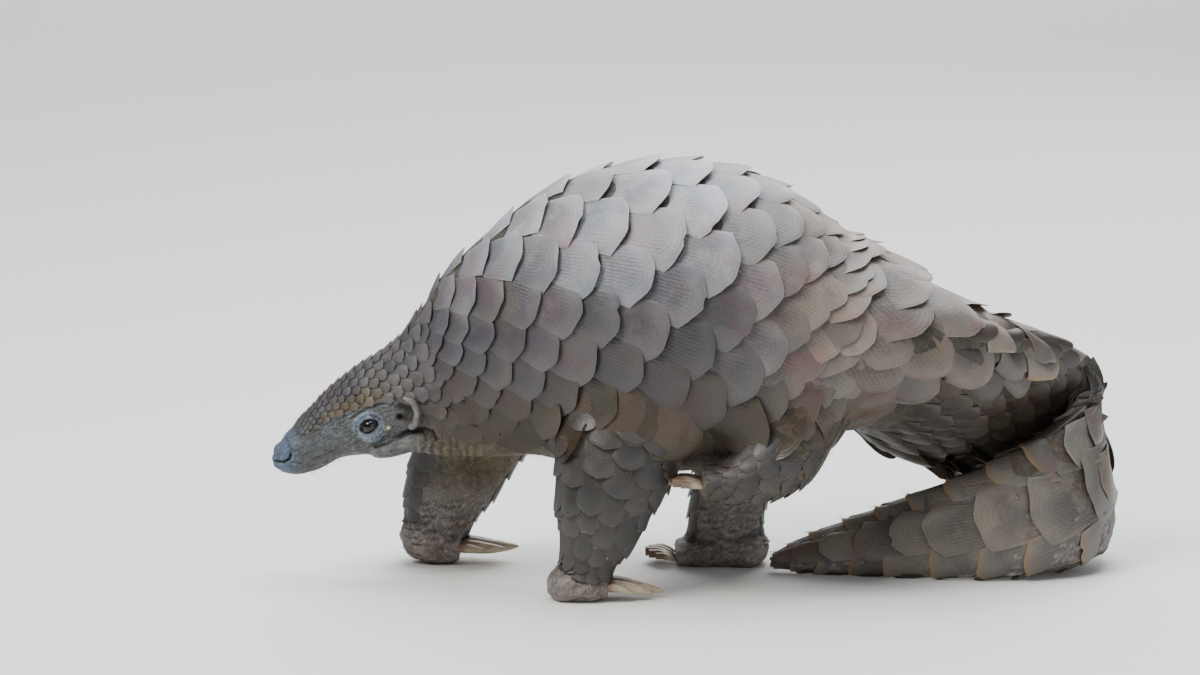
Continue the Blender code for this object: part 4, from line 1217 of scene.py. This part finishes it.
class Nodes:
    # Short hands for building a material
    def __init__(self, name, roughness):
        self.material = bpy.data.materials.new(name)
        self.material.use_nodes = True
        self.tree = self.material.node_tree
        self.shader = self.tree.nodes["Principled BSDF"]
        self.shader.inputs["Roughness"].default_value = roughness

    def add(self, kind, **values):
        node = self.tree.nodes.new(kind)
        for key, value in values.items():
            setattr(node, key, value)
        return node

    def put(self, socket, value):
        if isinstance(value, bpy.types.NodeSocket):
            self.tree.links.new(value, socket)
        elif isinstance(value, (tuple, list)) and len(value) == 3 and socket.type == "RGBA":
            socket.default_value = (*value, 1.0)
        else:
            socket.default_value = value

    def noise(self, scale, detail=3.0, where=None, roughness=0.55):
        node = self.add("ShaderNodeTexNoise")
        for key, value in (("Scale", scale), ("Detail", detail), ("Roughness", roughness)):
            node.inputs[key].default_value = value
        if where is not None:
            self.tree.links.new(where, node.inputs["Vector"])
        return node.outputs["Fac"]

    def math(self, operation, first, second=None, third=None):
        node = self.add("ShaderNodeMath")
        node.operation = operation
        for socket, value in zip(node.inputs, (first, second, third)):
            if value is not None:
                self.put(socket, value)
        return node.outputs[0]

    def times(self, first, second):
        return self.math("MULTIPLY", first, second)

    def plus(self, first, second):
        return self.math("ADD", first, second)

    def ramp(self, value, low, high, toLow=0.0, toHigh=1.0):
        node = self.add("ShaderNodeMapRange")
        node.interpolation_type = "SMOOTHSTEP"
        keys = ("Value", "From Min", "From Max", "To Min", "To Max")
        for key, number in zip(keys, (value, low, high, toLow, toHigh)):
            self.put(node.inputs[key], number)
        return node.outputs["Result"]

    def mix(self, share, first, second, blend="MIX"):
        node = self.add("ShaderNodeMix")
        node.data_type = "RGBA"
        node.blend_type = blend
        self.put(node.inputs[0], share)
        self.put(node.inputs[6], first)
        self.put(node.inputs[7], second)
        return node.outputs[2]

    def attribute(self, name, output="Fac"):
        node = self.add("ShaderNodeAttribute")
        node.attribute_name = name
        return node.outputs[output]

    def bump(self, height, distance, strength=1.0, before=None):
        node = self.add("ShaderNodeBump")
        node.inputs["Distance"].default_value = distance
        node.inputs["Strength"].default_value = strength
        self.put(node.inputs["Height"], height)
        if before is not None:
            self.put(node.inputs["Normal"], before)
        return node.outputs[0]

    def finish(self, colour, roughness=None, normal=None):
        self.put(self.shader.inputs["Base Color"], colour)
        if roughness is not None:
            self.put(self.shader.inputs["Roughness"], roughness)
        if normal is not None:
            self.put(self.shader.inputs["Normal"], normal)
        return self.material


# Marks on a scale: four are shares of its own colour, amber and under are colours; dark also paints shade
# at the root, light paints a highlight on the rim, and under paints the shade beneath each scale
hornForm = {
    "light": (1.75, 1.62, 1.50),
    "dark": (0.34, 0.33, 0.38),
    "pink": (1.05, 0.66, 0.72),
    "olive": (0.86, 0.80, 0.46),
    "amber": (0.26, 0.130, 0.030),     # tips along the tail's margin
    # painted shade beneath each scale
    "under": (0.070, 0.044, 0.026),
    "grooves": 95.0,
    "rings": 58.0,
    "grooveDepth": 0.00016,
    "dentDepth": 0.0007,
}


def scaleMaterial():
    nodes = Nodes("hornScale", 0.5)
    plate = nodes.add("ShaderNodeUVMap", uv_map="plateMap").outputs[0]
    split = nodes.add("ShaderNodeSeparateXYZ")
    nodes.put(split.inputs[0], plate)
    u, v = split.outputs[0], split.outputs[1]
    where = nodes.add("ShaderNodeTexCoord").outputs["Object"]
    chance = nodes.attribute("random")
    edgeU = nodes.math("ABSOLUTE", nodes.math("MULTIPLY_ADD", u, 2.0, -1.0))
    # fine grooves run lengthwise and fade where the tip is worn
    waver = nodes.times(nodes.noise(160.0, 2.0, where), 5.0)
    shiftU = nodes.plus(nodes.times(u, hornForm["grooves"]), waver)
    grooves = nodes.math("MULTIPLY_ADD", nodes.math("SINE", shiftU), 0.5, 0.5)
    fading = nodes.plus(v, nodes.times(nodes.noise(70.0, 3.0, where), 0.35))
    grooved = nodes.times(grooves, nodes.ramp(fading, 0.62, 1.02, 1.0, 0.12))
    # growth rings follow the free edge
    bow = nodes.times(nodes.math("POWER", edgeU, 2.2), 0.34)
    ringPlace = nodes.plus(nodes.plus(v, bow), nodes.times(nodes.noise(45.0, 2.0, where), 0.10))
    ringWave = nodes.math("SINE", nodes.times(ringPlace, hornForm["rings"]))
    rings = nodes.math("MULTIPLY_ADD", ringWave, 0.5, 0.5)
    worn = nodes.ramp(nodes.noise(38.0, 5.0, where, 0.65), 0.42, 0.66)
    fine = nodes.noise(420.0, 4.0, where, 0.7)
    rim = nodes.math("MAXIMUM", nodes.ramp(edgeU, 0.93, 0.99), nodes.ramp(v, 0.955, 0.99))
    tone = nodes.attribute("tone", "Color")
    light, dark, pink, olive = (
        nodes.mix(1.0, tone, hornForm[name], "MULTIPLY") for name in ("light", "dark", "pink", "olive"))
    # painted shade: each scale darker towards its root, where the scale before it overlaps and shades it
    colour = nodes.mix(nodes.ramp(v, 0.30, 0.85, 0.55, 0.0), tone, dark)
    colour = nodes.mix(nodes.times(worn, 0.45), colour, light)
    stains = nodes.ramp(nodes.noise(26.0, 5.0, where, 0.65), 0.48, 0.68, 0.0, 0.75)
    colour = nodes.mix(stains, colour, pink)
    earth = nodes.ramp(nodes.noise(19.0, 4.0, where, 0.7), 0.52, 0.72, 0.0, 0.55)
    colour = nodes.mix(earth, colour, olive)
    marked = nodes.times(grooved, nodes.ramp(chance, 0.2, 0.8, 0.05, 0.42))
    colour = nodes.mix(marked, colour, dark)
    colour = nodes.mix(nodes.times(rings, 0.16), colour, dark)
    colour = nodes.mix(nodes.ramp(fine, 0.52, 0.78, 0.0, 0.30), colour, light)
    amber = nodes.times(nodes.attribute("tint"), nodes.ramp(v, 0.78, 1.0, 0.0, 0.55))
    colour = nodes.mix(amber, colour, hornForm["amber"])
    # painted highlight along the free rim, together with its own paler worn edge
    rimHighlightAndWear = nodes.ramp(nodes.noise(55.0, 2.0, where), 0.35, 0.65, 0.0, 0.45)
    colour = nodes.mix(nodes.times(rim, rimHighlightAndWear), colour, light)
    # painted shade: the underside and the edge walls of each scale are darkened
    colour = nodes.mix(nodes.times(nodes.attribute("under"), 0.60), colour, hornForm["under"])
    height = nodes.plus(nodes.times(grooved, 0.65), nodes.times(rings, 0.30))
    height = nodes.plus(height, nodes.times(fine, 0.5))
    normal = nodes.bump(height, hornForm["grooveDepth"], 0.9)
    normal = nodes.bump(nodes.noise(60.0, 5.0, where, 0.6), hornForm["dentDepth"], 0.5, normal)
    wear = nodes.plus(nodes.times(worn, 0.4), nodes.times(fine, 0.6))
    nodes.shader.inputs["Specular IOR Level"].default_value = 0.5
    return nodes.finish(colour, nodes.ramp(wear, 0.1, 0.9, 0.36, 0.62), normal)


def skinMaterial():
    nodes = Nodes("bareSkin", 0.62)
    where = nodes.add("ShaderNodeTexCoord").outputs["Object"]
    tone = nodes.attribute("tone", "Color")
    coarse = nodes.noise(60.0, 5.0, where, 0.6)
    creases = nodes.add("ShaderNodeTexVoronoi")
    creases.feature = "DISTANCE_TO_EDGE"
    creases.inputs["Scale"].default_value = 420.0
    nodes.put(creases.inputs["Vector"], where)
    crease = nodes.ramp(creases.outputs["Distance"], 0.0, 0.16, 1.0, 0.0)
    light = nodes.mix(1.0, tone, (2.1, 2.0, 1.9), "MULTIPLY")
    dark = nodes.mix(1.0, tone, (0.42, 0.38, 0.36), "MULTIPLY")
    colour = nodes.mix(nodes.ramp(coarse, 0.38, 0.66, 0.0, 0.75), tone, dark)
    # painted shade in the fine creases of the skin
    colour = nodes.mix(nodes.times(crease, 0.55), colour, dark)
    specks = nodes.ramp(nodes.noise(260.0, 4.0, where, 0.7), 0.50, 0.72, 0.0, 0.60)
    colour = nodes.mix(specks, colour, light)
    folds = nodes.noise(190.0, 5.0, where, 0.65)
    height = nodes.math("SUBTRACT", folds, nodes.times(crease, 0.55))
    normal = nodes.bump(height, 0.0006, 0.8)
    rough = nodes.ramp(nodes.noise(120.0, 3.0, where), 0.3, 0.7, 0.50, 0.72)
    nodes.shader.inputs["Subsurface Weight"].default_value = 0.06
    nodes.shader.inputs["Subsurface Radius"].default_value = (0.006, 0.003, 0.002)
    nodes.shader.inputs["Subsurface Scale"].default_value = 0.5
    return nodes.finish(colour, rough, normal)


def clawMaterial():
    nodes = Nodes("clawHorn", 0.38)
    where = nodes.add("ShaderNodeTexCoord").outputs["Object"]
    stretch = nodes.add("ShaderNodeMapping")
    stretch.inputs["Scale"].default_value = (0.12, 1.0, 1.0)
    nodes.put(stretch.inputs["Vector"], where)
    streaks = nodes.noise(900.0, 4.0, stretch.outputs[0], 0.6)
    root = nodes.attribute("root")
    colour = nodes.mix(root, (0.42, 0.34, 0.24), (0.16, 0.10, 0.065))
    colour = nodes.mix(nodes.ramp(streaks, 0.42, 0.70, 0.0, 0.55), colour, (0.13, 0.085, 0.055))
    chalk = nodes.ramp(nodes.noise(140.0, 4.0, where), 0.5, 0.75, 0.0, 0.35)
    colour = nodes.mix(chalk, colour, (0.60, 0.53, 0.42))
    normal = nodes.bump(streaks, 0.0003, 0.7)
    return nodes.finish(colour, nodes.ramp(streaks, 0.3, 0.7, 0.30, 0.52), normal)


def eyeMaterial():
    nodes = Nodes("eyeBall", 0.06)
    ring = nodes.attribute("ring")
    where = nodes.add("ShaderNodeTexCoord").outputs["Object"]
    iris = nodes.mix(nodes.noise(1400.0, 3.0, where), (0.016, 0.009, 0.005), (0.005, 0.003, 0.003))
    colour = nodes.mix(nodes.ramp(ring, 0.50, 0.60), (0.001, 0.001, 0.001), iris)
    colour = nodes.mix(nodes.ramp(ring, 0.95, 1.10), colour, (0.020, 0.028, 0.040))
    nodes.shader.inputs["Specular IOR Level"].default_value = 0.3
    nodes.shader.inputs["Coat Weight"].default_value = 0.35
    nodes.shader.inputs["Coat Roughness"].default_value = 0.03
    return nodes.finish(colour)


def bristleMaterial():
    nodes = Nodes("bristle", 0.5)
    where = nodes.add("ShaderNodeTexCoord").outputs["Object"]
    return nodes.finish(nodes.mix(nodes.noise(90.0, 3.0, where), (0.42, 0.30, 0.15), (0.20, 0.13, 0.07)))


horn, hide, clawHorn = scaleMaterial(), skinMaterial(), clawMaterial()
glass, straw = eyeMaterial(), bristleMaterial()


def isNeck(plate):
    return plate["group"] == "trunk" and (plate["middle"] - shift)[0] < scaleForm["neckEnd"]


def dressScales():
    # Each scale goes to the first group that takes it
    groups = {
        "scales_head_neck": isNeck,
        "scales_trunk_left": lambda p: p["group"] == "trunk" and p["middle"][1] < 0,
        "scales_trunk_right": lambda p: p["group"] == "trunk",
        "scales_tail_top": lambda p: p["group"] == "tailTop",
        "scales_tail_under": lambda p: p["group"] == "tailUnder",
        "scales_forelegs": lambda p: p["group"].startswith("foreleg"),
        "scales_hindlegs": lambda p: p["group"].startswith("hindleg"),
    }
    left = list(allScales)
    for name, test in groups.items():
        plates = [plate for plate in left if test(plate)]
        left = [plate for plate in left if not test(plate)]
        piece = makeScalePiece(name, plates)
        piece.data.materials.append(horn)
        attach(piece, "root")
        print(name, len(plates), "scales,", len(piece.data.polygons), "faces")


dressScales()

skinTones = {
    "face": (0.078, 0.084, 0.086),
    "snout": (0.088, 0.098, 0.108),
    "nose": (0.074, 0.108, 0.168),
    "lid": (0.190, 0.235, 0.290),
    "throat": (0.088, 0.072, 0.038),
    "belly": (0.085, 0.066, 0.044),
    "paw": (0.150, 0.130, 0.118),
    "under": (0.050, 0.040, 0.028),
    "paintedHollowShade": (0.016, 0.012, 0.010),
    "rim": (0.160, 0.140, 0.125),
    "wart": (0.360, 0.330, 0.200),
}


def paintSkin():
    points = pointsOf(skin.data) - shift
    x, z = points[:, 0], points[:, 2]
    tones = {name: np.array(tone) for name, tone in skinTones.items()}

    def lay(base, tone, share):
        return base * (1 - share[:, None]) + tone * share[:, None]

    colour = np.tile(tones["under"], (len(points), 1))
    colour = lay(colour, tones["belly"], ease(-z, -0.15, -0.09))
    colour = lay(colour, tones["throat"], ease(-x, 0.10, 0.17) * ease(-z, -0.135, -0.095))
    colour = lay(colour, tones["face"], ease(-x, 0.190, 0.228))
    colour = lay(colour, tones["snout"], ease(-x, 0.255, 0.290))
    colour = lay(colour, tones["nose"], ease(-x, 0.303, 0.315))
    colour = lay(colour, tones["paw"], ease(-z, -0.085, -0.045))
    for side in ("left", "right"):
        away = np.linalg.norm(points + shift - eyeFrame(side)[0], axis=1)
        colour = lay(colour, tones["lid"], ease(-away, -0.0150, -0.0105))
    # painted shade in the grooves of the mouth, lips, nose, cheek, brow and ear hole
    for name, share in (
            ("mouth", 0.95), ("noseCrease", 0.2), ("lips", 0.2), ("cheekCrease", 0.8), ("earFront", 0.75),
            ("earHole", 1.0), ("browCrease", 0.5)):
        colour = lay(colour, tones["paintedHollowShade"], share * lineShare(points, name))
    colour = lay(colour, tones["rim"], 0.6 * lineShare(points, "earRim"))
    onCheek = (points[:, 0] < -0.2) * (np.abs(points[:, 1]) > 0.02)
    colour = lay(colour, tones["wart"], wartShare(points) * onCheek)
    # painted shade in the valleys of the wrinkles and painted highlight on their ridges
    edges = edgesOf(skin.data)
    around = relaxed(pointsOf(skin.data), edges, 1, 1.0)
    wrinkleShadeAndHighlight = np.sum((around - pointsOf(skin.data)) * normalsOf(skin.data), axis=1)
    fineness = np.where(points[:, 0] < -0.20, 0.00006, 0.00022)
    colour = colour * np.clip(1 - 0.55 * np.clip(wrinkleShadeAndHighlight / fineness, -1.2, 1.2), 0.3, 1.8)[:, None]
    colour = np.clip(colour, 0.008, 0.6)
    putValues(skin.data, "tone", np.hstack([colour, np.ones((len(points), 1))]))


paintSkin()
skin.data.materials.append(hide)
points = pointsOf(skin.data)
points[:, 2] = np.maximum(points[:, 2], 0.0002)
putPoints(skin.data, points)
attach(skin, "root")
fleshNodes = ["head", "neck", "torso", "tail_base", "tail_far", "tail_bend", "tail_near", "tail_tip"]
for limb in ("foreleg", "forefoot", "hindleg", "hindfoot", "ear"):
    fleshNodes += [f"{limb}_left", f"{limb}_right"]
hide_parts(*fleshNodes)


eyeForm = {
    "outward": (-0.30, -0.93, 0.10),
    "bulge": 0.05,            # how far the clear front stands out, as a share of the radius
    "bulgeAt": (0.72, 0.95),  # from where to where on the way out from the middle
    "iris": 0.80,             # half its width, as a share of the radius
}


def makeEye(side):
    centre = np.array(mirrored(headForm["eye"], side)) + shift
    radius = headForm["eyeRadius"]
    vertices, faces = ball((0, 0, 0), (1, 1, 1), 48, 32)
    outward = np.array(mirrored(eyeForm["outward"], side))
    outward /= np.linalg.norm(outward)
    turn = Vector((0, 0, 1)).rotation_difference(Vector(outward)).to_matrix()
    around = np.array([tuple(turn @ Vector(v)) for v in vertices])
    height = vertices[:, 2]
    bulge = 1 + eyeForm["bulge"] * ease(height, *eyeForm["bulgeAt"])
    piece = newPiece(f"eye_{side}_ball", centre + around * (radius * bulge)[:, None], faces)
    ring = np.sqrt(np.clip(1 - height**2, 0, 1)) / eyeForm["iris"]
    ring[height < 0] = 2.0
    putValues(piece.data, "ring", ring)
    piece.data.materials.append(glass)
    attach(piece, "root")
    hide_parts(f"eye_{side}")


makeEye("left")
makeEye("right")

# Claws start at the flat ends of the feet; sizes are shares of the plain ones
clawForm = {
    "around": 28,
    "steps": 40,
    "back": 0.42,          # how far the root reaches into the foot, as a share of the length
    "ridge": 0.045,
    # thickness along the claw, as a share of that at the root
    "taperAt": [0.0, 0.15, 0.45, 0.70, 0.88, 0.97, 1.0],
    "taper": [1.0, 1.04, 0.92, 0.70, 0.42, 0.20, 0.06],
    "forefoot_left": {"wide": 1.35, "long": 1.14, "drop": 1.1, "curl": 0.0},
    "forefoot_right": {"wide": 1.65, "long": 1.22, "drop": 1.0, "curl": 0.16},
    "hindfoot_left": {"wide": 1.25, "long": 1.10, "drop": 1.0, "curl": 0.0},
    "hindfoot_right": {"wide": 1.25, "long": 1.10, "drop": 1.0, "curl": 0.0},
}


def makeClaw(node, foot):
    low, high = (np.array(corner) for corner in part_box(node))
    form, count = clawForm[foot], clawForm["around"]
    length, radius = high[0] - low[0], (high[1] - low[1]) / 2.1
    height, fall = high[2] - 1.2 * radius, (high[2] - low[2] - 1.6 * radius) * form["drop"]
    radius *= form["wide"]
    share = np.linspace(-clawForm["back"], form["long"], clawForm["steps"])
    ahead = np.clip(share / form["long"], 0.0, 1.0)
    size = np.interp(ahead, clawForm["taperAt"], clawForm["taper"])
    middleZ = height - fall * ahead**1.6 + form["curl"] * length * ahead**3
    turn = np.linspace(0, 2 * math.pi, count, endpoint=False)
    ridged = 1 + clawForm["ridge"] * np.sin(9 * turn + 1.0) * (np.sin(turn) > -0.3)
    flat = np.where(np.sin(turn) < 0, 0.72, 1.12)
    points = np.empty((len(share), count, 3))
    points[..., 0] = (low[0] + length * share)[:, None]
    points[..., 1] = (low[1] + high[1]) / 2 + (radius * size)[:, None] * np.cos(turn) * ridged
    points[..., 2] = middleZ[:, None] + (radius * size)[:, None] * np.sin(turn) * ridged * flat
    points[..., 2] = np.maximum(points[..., 2], 0.0004 + 0.0004 * (np.sin(turn) > -0.5))
    piece = newPiece(f"{node}_horn", points.reshape(-1, 3), tubeFaces(len(share), count))
    putValues(piece.data, "root", np.repeat(1 - ease(ahead, 0.0, 0.5), count))
    piece.data.materials.append(clawHorn)
    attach(piece, "root")
    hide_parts(node)


for foot in ("forefoot_left", "forefoot_right", "hindfoot_left", "hindfoot_right"):
    for number in range(1, 6):
        makeClaw(f"{foot}_claw_{number}", foot)
print("claws made")

# Stiff hairs at the tips of the tail's edge scales, between the scales, on cheeks, throat and belly
bristleForm = {
    # hairs for each scale from a row of the sweep on, rooted back from the tip and down in the scale
    "tail": {
        "count": 4, "long": (0.005, 0.012), "thick": 0.00028, "spread": 0.45,
        "fromRow": 19, "back": 0.004, "down": 0.0012, "rise": 0.3},
    "trunk": {
        "count": 1, "long": (0.005, 0.011), "thick": 0.00020, "spread": 0.35,
        "fromRow": 12, "share": 0.35, "back": 0.003, "down": 0.0014, "rise": 0.5},
    "skin": {
        "count": 2600, "long": (0.003, 0.008), "thick": 0.00008, "spread": 0.5,
        "onCheeks": 500, "down": 0.0004, "rise": 0.7,
        # from and to in x and z, and how far the skin of the belly may face up
        "cheek": ((-0.30, -0.20), (-1.0, 0.118)),
        "belly": ((-0.19, 0.12), (0.07, 0.12)),
        "facing": 0.1},
    "patch": 0.003,
}


def bristle(root, heading, length, thick, bend):
    # Three sides, two rings and a tip
    side = np.cross(heading, [0.3, 0.5, 0.8])
    side /= np.linalg.norm(side)
    other = np.cross(heading, side)
    vertices = []
    for share, size in ((0.0, 1.0), (0.5, 0.75)):
        centre = root + heading * length * share + bend * share**2
        for angle in (0.0, 2.094, 4.189):
            vertices.append(centre + thick * size * (side * math.cos(angle) + other * math.sin(angle)))
    vertices.append(root + heading * length + bend)
    faces = [(0, 1, 4, 3), (1, 2, 5, 4), (2, 0, 3, 5), (3, 4, 6), (4, 5, 6), (5, 3, 6), (2, 1, 0)]
    return vertices, faces


def makeBristles():
    chance = random.Random(23)
    forms, patches = [], []

    def grow(root, heading, values, where):
        heading = heading + values["spread"] * np.array([chance.uniform(-1, 1) for _ in range(3)])
        heading /= np.linalg.norm(heading)
        length = chance.uniform(*values["long"])
        bend = length * 0.2 * np.array([chance.uniform(-1, 1) for _ in range(3)])
        vertices, faces = bristle(root, heading, length, values["thick"], bend)
        lowest = min(v[2] for v in vertices)
        if lowest > 0.0005:
            forms.append((vertices, faces))
            patches.append(where)

    def growAtTip(plate, values):
        for _ in range(values["count"]):
            root = plate["tip"] - values["back"] * plate["heading"] - values["down"] * plate["normal"]
            grow(root, plate["heading"] + values["rise"] * plate["normal"], values, plate["patch"])

    tail, trunk, bare = bristleForm["tail"], bristleForm["trunk"], bristleForm["skin"]
    for plate in allScales:
        if plate["tint"] > 0.5 and plate["number"] > tail["fromRow"]:
            growAtTip(plate, tail)
        elif plate["group"] == "trunk" and plate["number"] > trunk["fromRow"]:
            if chance.random() < trunk["share"]:
                growAtTip(plate, trunk)
    points, normals = pointsOf(skin.data), normalsOf(skin.data)
    body = points - shift

    def within(place):
        (back, front), (low, high) = bare[place]
        x, z = body[:, 0], body[:, 2]
        return (x > back) & (x < front) & (z > low) & (z < high)

    cheek, belly = within("cheek"), within("belly") & (normals[:, 2] < bare["facing"])
    some = []
    for spots, key in ((belly, "count"), (cheek, "onCheeks")):
        places = list(np.nonzero(spots)[0])
        some += [chance.choice(places) for _ in range(bare[key])]
    for i in some:
        back = np.array([1.0, 0.0, -0.4])
        along = 0.02 + 0.9 * (body[i, 0] + 0.34) / 0.70
        around = 0.02 + 0.60 * (math.atan2(body[i, 1], -1.0) / 6.28 % 1.0)
        root = points[i] - bare["down"] * normals[i]
        grow(root, back + bare["rise"] * normals[i], bare, (along, around))
    vertices, faces = joined(forms)
    piece = newPiece("bristles", vertices, faces)
    corners = []
    for patch, (_, polygons) in zip(patches, forms):
        corners += [patch] * sum(len(face) for face in polygons)
    offsets = [(0.5 * (i % 2), 0.5 * (i // 2 % 2)) for i in range(len(corners))]
    putMap(piece.data, "OFBake", np.array(corners) + bristleForm["patch"] * np.array(offsets))
    piece.data.materials.append(straw)
    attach(piece, "root")
    print("bristles:", len(forms))


makeBristles()

stageForm = {"size": 40.0, "colour": (0.80, 0.79, 0.76)}


def makeFloor():
    half = stageForm["size"] / 2
    corners = [(-half, -half, 0), (half, -half, 0), (half, half, 0), (-half, half, 0)]
    floor = newPiece("floor", corners, [(0, 1, 2, 3)])
    nodes = Nodes("paleFloor", 0.85)
    floor.data.materials.append(nodes.finish(stageForm["colour"]))


makeFloor()

cameraForm = {
    "look": (-0.0702, 0.0, 0.1929),
    "distance": 4.0,
    "elevation": 10.0,           # degrees above the level
    "metresPerPixel": 0.00078,
    "pixels": 1200,              # width of the photo
    "sensor": 36.0,
}


def makeCamera():
    camera = bpy.data.objects.new("camera", bpy.data.cameras.new("camera"))
    bpy.context.scene.collection.objects.link(camera)
    tilt = math.radians(cameraForm["elevation"])
    back = Vector((0, -math.cos(tilt), math.sin(tilt)))
    camera.location = Vector(cameraForm["look"]) + Vector(shift) + back * cameraForm["distance"]
    camera.rotation_euler = (-back).to_track_quat("-Z", "Y").to_euler()
    camera.data.sensor_width = cameraForm["sensor"]
    width = cameraForm["pixels"] * cameraForm["metresPerPixel"]
    camera.data.lens = cameraForm["sensor"] * cameraForm["distance"] / width
    camera.data.clip_end = 100.0
    bpy.context.scene.camera = camera


makeCamera()

lightForm = {
    "key": {"place": (-1.6, -1.4, 2.6), "size": 1.8, "power": 110.0, "colour": (1.0, 0.97, 0.93)},
    "fill": {"place": (1.8, -2.2, 1.2), "size": 2.2, "power": 16.0, "colour": (0.93, 0.96, 1.0)},
    "top": {"place": (0.3, 0.3, 2.6), "size": 2.0, "power": 85.0, "colour": (0.84, 0.92, 1.0)},
    "back": {"place": (1.2, 2.4, 1.6), "size": 1.8, "power": 22.0, "colour": (1.0, 0.97, 0.92)},
    "far": {"place": (0.0, 6.0, 4.0), "size": 6.0, "power": 330.0, "colour": (1.0, 1.0, 1.0)},
    "aim": (0.0, 0.0, 0.15),
    "farAim": (0.0, 4.0, 0.15),      # the far lamp lights the ground behind
    "sky": (0.80, 0.85, 0.92),
    "skyStrength": 0.30,
}


def makeLights():
    for name in ("key", "fill", "top", "back", "far"):
        values = lightForm[name]
        lamp = bpy.data.objects.new(name, bpy.data.lights.new(name, "AREA"))
        bpy.context.scene.collection.objects.link(lamp)
        lamp.data.shape = "DISK"
        lamp.data.size = values["size"]
        lamp.data.energy = values["power"]
        lamp.data.color = values["colour"]
        lamp.location = values["place"]
        aim = Vector(lightForm["farAim" if name == "far" else "aim"]) - Vector(values["place"])
        lamp.rotation_euler = aim.to_track_quat("-Z", "Y").to_euler()
    world = bpy.data.worlds.new("studio")
    bpy.context.scene.world = world
    world.use_nodes = True
    sky = world.node_tree.nodes["Background"]
    sky.inputs["Color"].default_value = (*lightForm["sky"], 1.0)
    sky.inputs["Strength"].default_value = lightForm["skyStrength"]


makeLights()
